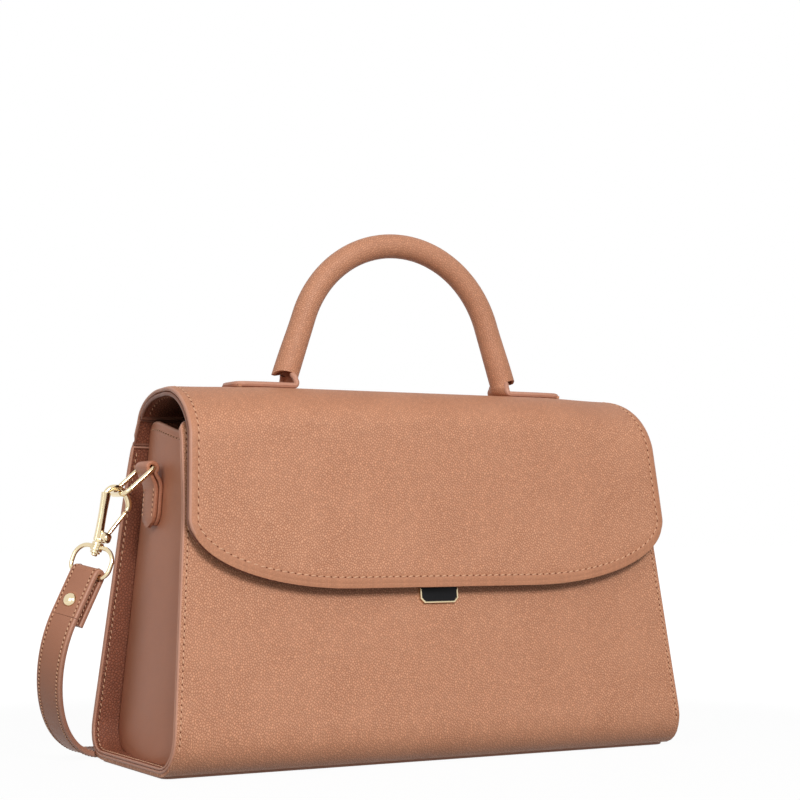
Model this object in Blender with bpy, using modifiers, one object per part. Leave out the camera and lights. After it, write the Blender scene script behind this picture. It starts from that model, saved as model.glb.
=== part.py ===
"""Structured top-handle handbag with a flap, rolled handle and shoulder strap on snap hooks.

Metres, +Z up, the front faces -Y and +X is to the right seen from the front.
The origin is the centre of the base on the surface that the bag stands on.
"""
from math import atan, cos, hypot, pi, radians, sin, sqrt

import bmesh
import bpy
from mathutils import Matrix, Vector

for old in list(bpy.data.objects):
    bpy.data.objects.remove(old)

MM = 0.001

# Fits
TOUCH = 0.3 * MM
OVERRUN = 2 * MM

# Leather and board
LEATHER = 1.5 * MM
FACING = 1.3 * MM
FLAP_LEATHER = 2.1 * MM
FLAP_LINING = 2.1 * MM
LINING = 0.8 * MM
LINING_PLAY = 3 * MM

# Body: how far each wall stands out at the floor, and how it leans in
HALF_WIDTH = 146.1 * MM
SIDE_LEAN_SHARE = 0.0965
FRONT_FOOT = 59.1 * MM
FRONT_LEAN_SHARE = 0.1305
FRONT_HEIGHT = 167 * MM
FRONT_BEND_FROM = 156 * MM
FRONT_BEND = 4 * MM
FRONT_TOP_CORNER = 5 * MM
BACK_FOOT = 53.5 * MM
BACK_LEAN_SHARE = 0.075
BACK_HEIGHT = 170 * MM
BACK_BEND_FROM = 140 * MM
BACK_BEND = 4.2 * MM
BASE_CORNER = 16 * MM
SOLE = 2.2 * MM
SOLE_HALF_WIDTH = 144.5 * MM
SOLE_CORNER = 5 * MM
BASE_BOARD = 2 * MM
TOP_STRIP_FROM = 152 * MM
TOP_STRIP_INSET = 2 * MM
CORNER_STEPS = 6
BEND_STEPS = 4

# Gussets, set in from the sides of the front and back
GUSSET_HALF_WIDTH = 132 * MM
GUSSET_LEAN_SHARE = 0.085
GUSSET = 2.2 * MM
GUSSET_BULGE = 5 * MM
GUSSET_TOP_BACK = 167 * MM
GUSSET_TOP_FRONT = 161 * MM

# Flap: an arch over the opening that comes down the front
FLAP_TOP = 185.2 * MM
FLAP_STAND_OFF = 8.4 * MM
FLAP_BOTTOM = 88 * MM
FLAP_HALF_WIDTH = 136 * MM
FLAP_BACK_HALF_WIDTH = 126.5 * MM
FLAP_CORNER_ACROSS = 50 * MM
FLAP_CORNER_UP = 37 * MM
FLAT_BACK = 8 * MM
FLAT_FRONT = 18 * MM
BACK_SHOULDER_FROM = 171 * MM
FRONT_SHOULDER_FROM = 166 * MM
SHOULDER_STEPS = 9
FLAP_CORNER_STEPS = 8

# Rolled handle
HANDLE_AT = -7 * MM
HANDLE_RADIUS = 6.15 * MM
HANDLE_WALL = 1.8 * MM
HANDLE_TOP = 261.2 * MM
HANDLE_ARC = 56.6 * MM
HANDLE_FLARE = radians(18.4)
HANDLE_MOUTH = 11 * MM
CORE_PLAY = 0.35 * MM
CORE_SHORT = 12 * MM
HANDLE_BEND_HEIGHT = 1.3 * MM
HANDLE_BEND_RADIUS = 6.5 * MM
TAB = 2.8 * MM
TAB_END = 97 * MM
TAB_HALF_WIDTH = 9 * MM
TAB_NECK_HALF_WIDTH = 4.6 * MM
TAB_TURN = 2.6 * MM
HANDLE_STEPS = 20
HANDLE_SIDES_RES = 2

# Catch: a plate on the front, a keeper under the flap and a magnet behind the leather
PLATE_WIDTH = 21.5 * MM
PLATE_BOTTOM = 79 * MM
PLATE_HEIGHT = 24 * MM
PLATE = 1.6 * MM
PLATE_RIM = 0.8 * MM
PLATE_CHAMFER = 2.2 * MM
INLAY = 0.7 * MM
INLAY_PLAY = 0.15 * MM
KEEPER_RADIUS = 6 * MM
KEEPER = 1.4 * MM
MAGNET_RADIUS = 8 * MM
MAGNET = 2 * MM

# Side tab and D-ring
RING_BAR_HEIGHT = 145.5 * MM
RING_BAR_GAP = 2.47 * MM
RING_AT = 10 * MM
RING_WIRE = 1.2 * MM
RING_LENGTH = 20 * MM
RING_WIDTH = 19.4 * MM
RING_CORNER = 4.5 * MM
RING_BAR_CORNER = 1.25 * MM
RING_DROOP = radians(40.5)
TAB_SIDE_WIDTH = 15.6 * MM
TAB_SIDE = 2 * MM
TAB_SIDE_END = 116.5 * MM
BAR_PLAY = 0.4 * MM

# Snap hook, in its own axes: u across, v along Y, w up its length
HOOK_LEAN = radians(20.4)
HUB_PAST_BAR = 25.8 * MM
HUB_HEIGHT = 107.2 * MM
HUB_RADIUS = 2.9 * MM
HUB_LENGTH = 4.3 * MM
HOOK_LENGTH = 30.4 * MM
HOOK_WIDTH = 12.5 * MM
HOOK_WIRE = 1.5 * MM
HOOK_BAR_WIDTH = 4.2 * MM
HOOK_BAR_DEPTH = 3.3 * MM
COLLAR_RADIUS = 2.7 * MM
COLLAR = 1.4 * MM
STEM_RADIUS = 1.3 * MM
STEM_HEAD_RADIUS = 2.4 * MM
STEM_HEAD = 1 * MM
STEM_TAIL_RADIUS = 1.6 * MM
STEM_TAIL = 1.3 * MM
LUG_WIDTH = 5.6 * MM
LUG_HEIGHT = 4.9 * MM
LUG_DEPTH = 4.8 * MM
SLOT_DEPTH = 3 * MM
PIVOT_ACROSS = 2.4 * MM
PIVOT_UP = 5.4 * MM
PIN_RADIUS = 0.8 * MM
PIN_HEAD_RADIUS = 1.4 * MM
PIN_HEAD = 0.5 * MM
EYE_RADIUS = 1.7 * MM
EYE_DEPTH = 1.4 * MM
GATE_WIRE = 1.05 * MM
SPRING_RADIUS = 1.5 * MM
SPRING_DEPTH = 0.7 * MM
GATE_GAP = 0.4 * MM

# Points along the hook as shares of its width and length
HOOK_BOW_SHARES = ((-0.365, 0.77), (-0.365, 0.84), (-0.34, 0.90), (-0.25, 0.957), (-0.10, 0.993), (0.06, 1.0),
                   (0.23, 0.985), (0.40, 0.945), (0.54, 0.89), (0.635, 0.83), (0.68, 0.77), (0.675, 0.715))
HOOK_BAR_ROOT_SHARES = (-0.06, 0.13)

# Strap ring that hangs from the hub
STRAP_RING_HALF_WIDTH = 11.5 * MM
STRAP_RING_HEIGHT = 14.4 * MM
STRAP_RING_WIRE = 1.1 * MM
STRAP_RING_CORNER = 5 * MM
STRAP_RING_BOW = 7 * MM
STRAP_TURN = radians(58)

# Shoulder strap
STRAP_WIDTH = 15.5 * MM
STRAP = 2.8 * MM
STRAP_FOLD_PLAY = 0.35 * MM
STRAP_SWING = radians(-8)
RIVET_DOWN = 15 * MM
LOOP_END = 23 * MM
LOOP_BACK_END = 25 * MM
RIVET_RADIUS = 3.5 * MM
RIVET_DOME = 2.1 * MM
RIVET_SHANK = 1.1 * MM
RIVET_CAP = 0.7 * MM
DROP_PULL = 32 * MM
FLOOR_PULL = 30 * MM
FLOOR_OUT = 140 * MM
FLOOR_BACK = 54.3 * MM
FLOOR_RISE = 0.4 * MM
FLOOR_TILT = radians(6)
FLOOR_TURN = radians(14)
DROP_STEPS = 20
FOLD_BACK_AT = 71 * MM
FOLD_RADIUS = 7 * MM
FOLD_RIGHT = 62 * MM
FOLD_LEFT = 112 * MM
FOLD_LAYER = 3.8 * MM
FOLD_SLOPE = 42 * MM
FLOOR_DRIFT = 60 * MM

BAG = bpy.data.collections.new("handbag")
TOOLS = bpy.data.collections.new("cutters")
bpy.context.scene.collection.children.link(BAG)
bpy.context.scene.collection.children.link(TOOLS)


def finish(name, color, roughness, metallic=0.0):
    """A plain Principled material."""
    made = bpy.data.materials.new(name)
    made.use_nodes = True
    shader = made.node_tree.nodes["Principled BSDF"]
    shader.inputs["Base Color"].default_value = (*color, 1)
    shader.inputs["Roughness"].default_value = roughness
    shader.inputs["Metallic"].default_value = metallic
    return made


GRAINED = finish("grained_leather", (0.46, 0.20, 0.115), 0.55)
SMOOTH = finish("smooth_leather", (0.36, 0.155, 0.095), 0.5)
STRAP_LEATHER = finish("strap_leather", (0.38, 0.165, 0.10), 0.5)
GOLD = finish("pale_gold", (0.83, 0.69, 0.42), 0.18, 1.0)
ENAMEL = finish("black_enamel", (0.01, 0.01, 0.012), 0.12)
TEXTILE = finish("lining_textile", (0.10, 0.055, 0.04), 0.8)
BOARD = finish("board", (0.25, 0.19, 0.13), 0.8)
STEEL = finish("steel", (0.55, 0.55, 0.56), 0.3, 1.0)
ROPE = finish("handle_core", (0.62, 0.55, 0.42), 0.9)


def add(name, mesh, material, collection=BAG):
    """Links a new object for a mesh or curve."""
    made = bpy.data.objects.new(name, mesh)
    collection.objects.link(made)
    if material:
        made.data.materials.append(material)
    return made


def shade(made, angle=radians(35)):
    made.data.shade_smooth()
    made.data.set_sharp_from_angle(angle=angle)


def sheet(name, columns, rows, place, thickness, material, side=-1):
    """A sheet whose points are placed by their shares across and along, with a wall on one side."""
    bm = bmesh.new()
    bmesh.ops.create_grid(bm, x_segments=columns, y_segments=rows, size=1)
    for vert in bm.verts:
        vert.co = place((vert.co.x + 1) / 2, (vert.co.y + 1) / 2)
    mesh = bpy.data.meshes.new(name)
    bm.to_mesh(mesh)
    bm.free()
    made = add(name, mesh, material)
    wall = made.modifiers.new("wall", "SOLIDIFY")
    wall.thickness = thickness
    wall.offset = side
    wall.use_even_offset = True
    return made


def tube(name, points, radius, material, cyclic=False, collection=BAG):
    """A round tube along points."""
    curve = bpy.data.curves.new(name, "CURVE")
    curve.dimensions = "3D"
    curve.bevel_depth = radius
    curve.bevel_resolution = HANDLE_SIDES_RES
    curve.use_fill_caps = True
    spline = curve.splines.new("POLY")
    spline.points.add(len(points) - 1)
    for control, point in zip(spline.points, points):
        control.co = (*point, 1)
    spline.use_cyclic_u = cyclic
    return add(name, curve, material, collection)


def prism(name, outline, depth, matrix, material, collection=BAG, holes=()):
    """A flat outline with a thickness, centred on its plane."""
    curve = bpy.data.curves.new(name, "CURVE")
    curve.dimensions = "2D"
    curve.fill_mode = "BOTH"
    curve.extrude = depth / 2
    for line in (outline, *holes):
        spline = curve.splines.new("POLY")
        spline.points.add(len(line) - 1)
        for control, point in zip(spline.points, line):
            control.co = (*point, 0, 1)
        spline.use_cyclic_u = True
    made = add(name, curve, material, collection)
    made.matrix_world = matrix
    return made


def turned(name, profile, matrix, material, collection=BAG, steps=16):
    """A profile of radius and height, top to bottom, turned about its Z axis."""
    mesh = bpy.data.meshes.new(name)
    mesh.from_pydata([(radius, 0, height) for radius, height in profile],
                     [(i, i + 1) for i in range(len(profile) - 1)], [])
    made = add(name, mesh, material, collection)
    screw = made.modifiers.new("turn", "SCREW")
    screw.steps = screw.render_steps = steps
    screw.use_merge_vertices = True
    screw.merge_threshold = TOUCH / 10
    made.matrix_world = matrix
    return made


def solid(made):
    """Turns an object into a plain welded mesh in world space, modifiers applied."""
    name, material = made.name, made.data.materials[0] if made.data.materials else None
    collection = made.users_collection[0]
    bpy.context.view_layer.update()
    evaluated = made.evaluated_get(bpy.context.evaluated_depsgraph_get())
    mesh = bpy.data.meshes.new_from_object(evaluated)
    mesh.transform(made.matrix_world)
    bm = bmesh.new()
    bm.from_mesh(mesh)
    bmesh.ops.remove_doubles(bm, verts=bm.verts, dist=TOUCH / 30)
    bmesh.ops.recalc_face_normals(bm, faces=bm.faces)
    bm.to_mesh(mesh)
    bm.free()
    bpy.data.objects.remove(made)
    made = bpy.data.objects.new(name, mesh)
    made.name = name
    collection.objects.link(made)
    if material and not mesh.materials:
        mesh.materials.append(material)
    return made


def boolean(target, tool, operation):
    """Cuts or joins with a tool that stays out of the part."""
    tool.hide_render = True
    tool.display_type = "WIRE"
    step = target.modifiers.new(operation.lower(), "BOOLEAN")
    step.operation = operation
    step.object = tool


def cut(target, tool):
    boolean(target, solid(tool), "DIFFERENCE")


def join(target, tool):
    boolean(target, solid(tool), "UNION")


def frame_matrix(origin, across, up, out):
    """A matrix from three axes and an origin."""
    matrix = Matrix((across, up, out)).transposed().to_4x4()
    matrix.translation = origin
    return matrix


def mirrored(made, name):
    """The same piece on the other side of the bag."""
    bpy.context.view_layer.update()
    evaluated = made.evaluated_get(bpy.context.evaluated_depsgraph_get())
    mesh = bpy.data.meshes.new_from_object(evaluated)
    mesh.transform(made.matrix_world)
    bm = bmesh.new()
    bm.from_mesh(mesh)
    bmesh.ops.remove_doubles(bm, verts=bm.verts, dist=TOUCH / 30)
    bmesh.ops.scale(bm, verts=bm.verts, vec=(-1, 1, 1))
    bmesh.ops.recalc_face_normals(bm, faces=bm.faces)
    bm.to_mesh(mesh)
    bm.free()
    twin = bpy.data.objects.new(name, mesh)
    BAG.objects.link(twin)
    return twin


def hinge(name, place, pieces):
    """An empty on a joint's axis that carries the moving pieces."""
    axis = bpy.data.objects.new(name, None)
    axis.location = place
    TOOLS.objects.link(axis)
    bpy.context.view_layer.update()
    for piece in pieces:
        piece.parent = axis
        piece.matrix_parent_inverse = axis.matrix_world.inverted()
    return axis


def facing_front(y):
    """A matrix whose plane is seen from the front, at a depth."""
    return frame_matrix(Vector((0, y, 0)), Vector((1, 0, 0)), Vector((0, 0, 1)), Vector((0, -1, 0)))


def facing_side(place):
    """A matrix whose plane is seen from the right, with its Z axis along X."""
    return frame_matrix(place, Vector((0, 1, 0)), Vector((0, 0, 1)), Vector((1, 0, 0)))


def rod(radius, reach):
    """Profile of a plain cylinder that reaches as far both ways."""
    return [(0, reach), (radius, reach), (radius, -reach), (0, -reach)]


def disc(name, radius, depth, matrix, material):
    """A round plate."""
    bm = bmesh.new()
    bmesh.ops.create_cone(bm, cap_ends=True, segments=24, radius1=radius, radius2=radius, depth=depth)
    mesh = bpy.data.meshes.new(name)
    bm.to_mesh(mesh)
    bm.free()
    made = add(name, mesh, material)
    made.matrix_world = matrix
    return made


def circle(radius, steps=20, centre=(0, 0)):
    return [(centre[0] + radius * cos(2 * pi * i / steps), centre[1] + radius * sin(2 * pi * i / steps))
            for i in range(steps)]


def rounded_box(width, height, radius, steps=4, top_radius=None):
    """Outline of a rounded rectangle about its centre."""
    points = []
    for x, y, start in ((1, 1, 0), (-1, 1, 90), (-1, -1, 180), (1, -1, 270)):
        corner = top_radius if top_radius and y > 0 else radius
        for i in range(steps + 1):
            angle = radians(start + 90 * i / steps)
            points.append((x * (width / 2 - corner) + corner * cos(angle),
                           y * (height / 2 - corner) + corner * sin(angle)))
    return points


# Walls of the body
WRAP_BASE = SOLE + TOUCH
FRONT = (-1, FRONT_FOOT, FRONT_LEAN_SHARE, FRONT_BEND_FROM, FRONT_BEND, FRONT_HEIGHT, FRONT_TOP_CORNER)
BACK = (1, BACK_FOOT, BACK_LEAN_SHARE, BACK_BEND_FROM, BACK_BEND, BACK_HEIGHT, 0)


def half_width(height):
    return HALF_WIDTH - SIDE_LEAN_SHARE * height


def wall_y(wall, height, inset=0):
    """Y of a wall's outside at a height, or of a layer set in from it."""
    way, foot, lean, bend_from, bend, top, _ = wall
    over = max(0, height - bend_from) / (top - bend_from)
    slope = lean + 2 * bend * over / (top - bend_from)
    return way * (foot - lean * height - inset * hypot(1, slope) - bend * over ** 2)


def wall_rows(wall, inset=0, top=None):
    """Half width, y and z down a wall and round its lower corner to the flat base."""
    way, foot, lean, bend_from, bend, full, corner = wall
    top = top or full
    slant = hypot(1, lean)
    rise = WRAP_BASE + BASE_CORNER
    centre = foot - lean * rise - BASE_CORNER * slant
    radius = BASE_CORNER - inset
    heights = []
    if corner:
        heights += [top - corner * (1 - sin(radians(90 - 30 * i))) for i in range(3)]
        heights.append(top - corner)
    first = heights[-1] if heights else top
    if first > bend_from:
        begin = 1 if heights else 0
        heights += [first + (bend_from - first) * i / BEND_STEPS for i in range(begin, BEND_STEPS + 1)]
    elif not heights:
        heights.append(top)
    rows = []
    for height in heights:
        drop = corner - sqrt(max(0, corner ** 2 - max(0, height - (top - corner)) ** 2)) if corner else 0
        rows.append((half_width(height) - drop, wall_y(wall, height, inset), height))
    start = atan(lean)
    for i in range(CORNER_STEPS + 1):
        angle = start - (pi / 2 + start) * i / CORNER_STEPS
        height = rise + radius * sin(angle)
        rows.append((half_width(height), way * (centre + radius * cos(angle)), height))
    return rows


def wrap(name, rows, thickness, material, side):
    """A panel ruled across the bag from rows of half width, y and z."""
    def place(across, along):
        half, y, z = rows[round(along * (len(rows) - 1))]
        return Vector(((2 * across - 1) * half, y, z))
    return sheet(name, 1, len(rows) - 1, place, thickness, material, side)


def body():
    """Front, base and back leather, the facing that ties them, sole, board and top strip."""
    front = wall_rows(FRONT)
    back = wall_rows(BACK)
    front_end, back_end = front[-1], back[-1]
    half, y, z = front_end
    wrap("front_panel", front, LEATHER, GRAINED, 1)
    wrap("back_panel", back, LEATHER, GRAINED, -1)
    wrap("base_panel", [(half, y + TOUCH, z), (half, back_end[1] - TOUCH, z)], LEATHER, GRAINED, 1)
    inner = LEATHER + TOUCH
    facing = wall_rows(FRONT, inner) + wall_rows(BACK, inner, TOP_STRIP_FROM - TOUCH)[::-1]
    wrap("wrap_facing", facing, FACING, GRAINED, 1)
    strip = [(half_width(z) - TOP_STRIP_INSET, wall_y(BACK, z, inner), z)
             for z in (BACK_HEIGHT, (BACK_HEIGHT + TOP_STRIP_FROM) / 2, TOP_STRIP_FROM)]
    wrap("back_top_strip", strip, FACING, GRAINED, -1)
    depth = back_end[1] - y
    middle = (back_end[1] + y) / 2
    sole = prism("base_sole", rounded_box(2 * SOLE_HALF_WIDTH, depth + SOLE_CORNER, SOLE_CORNER), SOLE,
                 Matrix.Translation((0, middle, SOLE / 2)), SMOOTH)
    board_z = WRAP_BASE + inner + FACING + TOUCH
    board_half = GUSSET_HALF_WIDTH - GUSSET - GUSSET_LEAN_SHARE * board_z - LINING_PLAY
    prism("base_board", rounded_box(2 * board_half, depth, SOLE_CORNER), BASE_BOARD,
          Matrix.Translation((0, middle, board_z + BASE_BOARD / 2)), BOARD)
    return board_z + BASE_BOARD, sole


def gusset_x(y_share, height):
    """Outside of the left gusset, which swells towards its middle."""
    return GUSSET_HALF_WIDTH - GUSSET_LEAN_SHARE * height + GUSSET_BULGE * (1 - (2 * y_share - 1) ** 2)


LAYERS = LEATHER + TOUCH + FACING + TOUCH


def gusset_span(height):
    """Front and back y that the gusset reaches at a height, just inside the facing."""
    rise = WRAP_BASE + BASE_CORNER
    span = []
    for wall in (FRONT, BACK):
        way, foot, lean = wall[:3]
        centre = foot - lean * rise - BASE_CORNER * hypot(1, lean)
        radius = BASE_CORNER - LAYERS
        if height < rise:
            span.append(way * (centre + sqrt(max(0, radius ** 2 - (rise - height) ** 2))))
        else:
            span.append(wall_y(wall, height, LAYERS))
    return span


def gussets():
    """Side panels between the front and the back, lower at the front."""
    floor = WRAP_BASE + LAYERS + TOUCH

    def place(across, along):
        top = GUSSET_TOP_FRONT + (GUSSET_TOP_BACK - GUSSET_TOP_FRONT) * across
        rise = (1 - cos(pi * along / 2)) if along < 1 else 1
        height = floor + (top - floor) * rise
        front, back = gusset_span(height)
        return Vector((-gusset_x(across, height), front + (back - front) * across, height))
    left = sheet("gusset_left", 8, 8, place, GUSSET, SMOOTH, 1)
    mirrored(left, "gusset_right")


def lining(floor):
    """Open-topped textile liner."""
    bm = bmesh.new()
    bmesh.ops.create_cube(bm, size=2)
    bottom = floor + TOUCH
    top = GUSSET_TOP_FRONT - LINING_PLAY
    for vert in bm.verts:
        z = top if vert.co.z > 0 else bottom
        front, back = wall_y(FRONT, z, LAYERS + MAGNET + TOUCH), wall_y(BACK, z, LAYERS + LINING_PLAY)
        if vert.co.z < 0:
            front, back = front + BASE_CORNER / 2, back - BASE_CORNER / 2
        across = GUSSET_HALF_WIDTH - GUSSET_LEAN_SHARE * z - GUSSET - LINING_PLAY
        vert.co = (across * (1 if vert.co.x > 0 else -1), back if vert.co.y > 0 else front, z)
    lid = [face for face in bm.faces if min(vert.co.z for vert in face.verts) > (bottom + top) / 2]
    bmesh.ops.delete(bm, geom=lid, context="FACES_ONLY")
    mesh = bpy.data.meshes.new("lining")
    bm.to_mesh(mesh)
    bm.free()
    made = add("lining", mesh, TEXTILE)
    wall = made.modifiers.new("wall", "SOLIDIFY")
    wall.thickness = LINING
    wall.offset = -1
    wall.use_even_offset = True


def flap_outside():
    """Y and z of the flap's outside, from its fold at the back to its lower edge."""
    front_y = -(FRONT_FOOT + FLAP_STAND_OFF)
    points = []
    rise = FLAP_TOP - BACK_SHOULDER_FROM
    reach = wall_y(BACK, BACK_HEIGHT) - FLAT_BACK
    points.append((FLAT_BACK + reach, BACK_HEIGHT + TOUCH))
    for i in range(SHOULDER_STEPS + 1):
        angle = pi / 2 * i / SHOULDER_STEPS
        points.append((FLAT_BACK + reach * cos(angle), BACK_SHOULDER_FROM + rise * sin(angle)))
    rise = FLAP_TOP - FRONT_SHOULDER_FROM
    reach = -(front_y + FRONT_LEAN_SHARE * FRONT_SHOULDER_FROM) - FLAT_FRONT
    for i in range(SHOULDER_STEPS + 1):
        angle = pi / 2 * (1 - i / SHOULDER_STEPS)
        height = rise * sin(angle)
        points.append((-FLAT_FRONT - (reach - FRONT_LEAN_SHARE * height) * cos(angle),
                       FRONT_SHOULDER_FROM + height))
    corner = FLAP_BOTTOM + FLAP_CORNER_UP
    heights = [(FRONT_SHOULDER_FROM + corner) / 2]
    for i in range(FLAP_CORNER_STEPS + 1):
        heights.append(corner - FLAP_CORNER_UP * sin(pi / 2 * i / FLAP_CORNER_STEPS))
    points += [(front_y + FRONT_LEAN_SHARE * height, height) for height in heights]
    return points


def set_in(points, distance):
    """The same line moved to its inner side."""
    moved = []
    for i, (y, z) in enumerate(points):
        before, after = points[max(0, i - 1)], points[min(len(points) - 1, i + 1)]
        run = Vector((after[0] - before[0], after[1] - before[1])).normalized()
        moved.append((y - run.y * distance, z + run.x * distance))
    return moved


def flap_rows(inset):
    """Rows of half width, y and z of a layer of the flap."""
    outside = flap_outside()
    line = set_in(outside, inset) if inset else outside
    corner = FLAP_BOTTOM + FLAP_CORNER_UP
    lengths = [0]
    for a, b in zip(outside, outside[1:]):
        lengths.append(lengths[-1] + hypot(b[0] - a[0], b[1] - a[1]))
    straight = len(outside) - FLAP_CORNER_STEPS - 1
    rows = []
    for i, (y, z) in enumerate(line):
        share = min(1, lengths[i] / lengths[straight])
        half = FLAP_BACK_HALF_WIDTH + (FLAP_HALF_WIDTH - FLAP_BACK_HALF_WIDTH) * share
        below = max(0, corner - outside[i][1]) / FLAP_CORNER_UP
        half -= FLAP_CORNER_ACROSS * (1 - sqrt(max(0, 1 - min(1, below) ** 2)))
        rows.append((half, y, z))
    return rows


def flap():
    """Outer leather and lining of the flap."""
    leather = wrap("flap_leather", flap_rows(0), FLAP_LEATHER, GRAINED, 1)
    inner = wrap("flap_lining", flap_rows(FLAP_LEATHER + TOUCH), FLAP_LINING, SMOOTH, 1)
    return [leather, inner]


def handle_line(steps):
    """Centre line of the handle from the left foot to the right one, x and z."""
    centre = HANDLE_TOP - HANDLE_ARC
    sweep = pi / 2 - HANDLE_FLARE
    points = []
    for i in range(steps + 1):
        angle = pi / 2 + sweep * (1 - 2 * i / steps)
        points.append((HANDLE_ARC * cos(angle), centre + HANDLE_ARC * sin(angle)))
    left = points[0]
    foot = FLAP_TOP
    run = (left[1] - foot) / cos(HANDLE_FLARE)
    start = (left[0] - run * sin(HANDLE_FLARE), foot)
    return [start] + points + [(-start[0], foot)]


def handle():
    """Hollow leather roll, its rope core and the tongues that hold it to the flap."""
    line = handle_line(HANDLE_STEPS)
    axis_z = FLAP_TOP + HANDLE_BEND_HEIGHT
    path = [(x, HANDLE_AT, z) for x, z in line]
    cover = solid(tube("handle_cover", path, HANDLE_RADIUS, GRAINED))
    length = 2 * TAB_END
    radius = HANDLE_BEND_RADIUS + TOUCH + TAB / 2 * sin(HANDLE_FLARE)
    axle = facing_side(Vector((0, HANDLE_AT, axis_z)))
    cut(cover, turned("bend_cut", rod(radius, length / 2), axle, None, TOOLS, steps=48))
    mouth = FLAP_TOP + HANDLE_MOUTH
    slope = sin(HANDLE_FLARE) / cos(HANDLE_FLARE)
    foot = path[-1][0] + TOUCH
    far = 2 * HANDLE_RADIUS
    upright = facing_front(HANDLE_AT)
    for way in (-1, 1):
        leg = foot - slope * (mouth - FLAP_TOP)
        outline = [(leg, mouth), (leg + far, mouth + HANDLE_RADIUS / 2), (leg + far, FLAP_TOP - OVERRUN),
                   (foot + slope * OVERRUN, FLAP_TOP - OVERRUN)]
        outline = [(way * x, z) for x, z in outline]
        cut(cover, prism("mouth_cut", outline, 3 * HANDLE_RADIUS, upright, None, TOOLS))
    down = (Vector(path[0]) - Vector(path[1])).normalized() * OVERRUN
    start = Vector(path[0]) + down
    bore = [start] + path[1:-1] + [Vector((-start.x, start.y, start.z))]
    cut(cover, tube("handle_bore", bore, HANDLE_RADIUS - HANDLE_WALL, None, collection=TOOLS))
    core = tube("handle_core", path[1:-1], HANDLE_RADIUS - HANDLE_WALL - CORE_PLAY, ROPE)
    tabs = handle_tabs(path[-1][0], axis_z)
    hinge("handle_axis", (0, HANDLE_AT, axis_z), [cover, core])
    return tabs


def handle_tabs(foot, axis_z):
    """Tongues that turn up from the flap into the inner half of the roll."""
    flat = FLAP_TOP + TOUCH + TAB / 2
    slope = sin(HANDLE_FLARE) / cos(HANDLE_FLARE)
    inner = foot - (HANDLE_RADIUS - HANDLE_WALL / 2 - TAB / 4) / cos(HANDLE_FLARE)
    turn = TAB_TURN
    centre = (inner + turn * cos(HANDLE_FLARE) - slope * turn, flat + turn)
    bend = [(centre[0] - turn * cos(angle), centre[1] - turn * sin(angle))
            for angle in (radians(90), radians(68), radians(45), radians(22), 0)]
    run = [(TAB_END, flat), (TAB_END - TAB_HALF_WIDTH * (1 - cos(radians(50))), flat),
           (TAB_END - TAB_HALF_WIDTH * (1 - cos(radians(75))), flat),
           (TAB_END - TAB_HALF_WIDTH, flat), ((TAB_END + centre[0]) / 2, flat)]
    path = run + bend
    widths = []
    for x, _ in run:
        into = max(0, x - (TAB_END - TAB_HALF_WIDTH))
        widths.append(max(TAB, sqrt(max(0, TAB_HALF_WIDTH ** 2 - into ** 2))))
    widths += [TAB_NECK_HALF_WIDTH] * len(bend)
    last = bend[-1]

    def place(across, along):
        step = along * len(path)
        side = 2 * across - 1
        if round(step) < len(path):
            x, z = path[round(step)]
            return Vector((x, HANDLE_AT + side * widths[round(step)], z))
        y = side * TAB_NECK_HALF_WIDTH
        top = axis_z + sqrt(HANDLE_BEND_RADIUS ** 2 - y ** 2)
        return Vector((last[0] - slope * (top - last[1]), HANDLE_AT + y, top))
    right = sheet("handle_tab_right", 6, len(path), place, TAB, SMOOTH, 0)
    left = mirrored(right, "handle_tab_left")
    return [right, left]


def catch():
    """Plate and inlay on the front, magnet behind them, keeper on the flap's underside."""
    slant = hypot(1, FRONT_LEAN_SHARE)
    up = Vector((0, FRONT_LEAN_SHARE, 1)) / slant
    out = Vector((0, -1, FRONT_LEAN_SHARE)) / slant

    def seat(height, distance):
        point = Vector((0, -FRONT_FOOT + FRONT_LEAN_SHARE * height, height))
        return frame_matrix(point + out * distance, Vector((1, 0, 0)), up, out)

    def plate_outline(margin):
        half, low, high = PLATE_WIDTH / 2 - margin, margin, PLATE_HEIGHT - margin
        bevel = PLATE_CHAMFER
        return [(half, low + bevel), (half, high), (-half, high), (-half, low + bevel),
                (-half + bevel, low), (half - bevel, low)]
    frame = solid(prism("lock_plate", plate_outline(0), PLATE, seat(PLATE_BOTTOM, TOUCH + PLATE / 2), GOLD))
    pocket = seat(PLATE_BOTTOM, TOUCH + PLATE - INLAY - TOUCH + OVERRUN / 2)
    cut(frame, prism("inlay_pocket", plate_outline(PLATE_RIM), OVERRUN, pocket, None, TOOLS))
    prism("lock_inlay", plate_outline(PLATE_RIM + INLAY_PLAY), INLAY,
          seat(PLATE_BOTTOM, TOUCH + PLATE - INLAY / 2 - TOUCH / 2), ENAMEL)
    centre = PLATE_BOTTOM + PLATE_HEIGHT - MAGNET_RADIUS
    disc("catch_magnet", MAGNET_RADIUS, MAGNET, seat(centre, -(LAYERS + MAGNET / 2)), STEEL)
    under = FLAP_STAND_OFF / slant - (FLAP_LEATHER + TOUCH + FLAP_LINING + TOUCH) - KEEPER / 2
    return disc("flap_keeper", KEEPER_RADIUS, KEEPER, seat(centre, under), STEEL)


TAB_EYE = RING_WIRE + BAR_PLAY
RING_BAR_OUT = gusset_x(0.5, RING_BAR_HEIGHT) + TOUCH + RING_BAR_GAP + TAB_SIDE + TAB_EYE
HUB_OUT = RING_BAR_OUT + HUB_PAST_BAR


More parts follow.
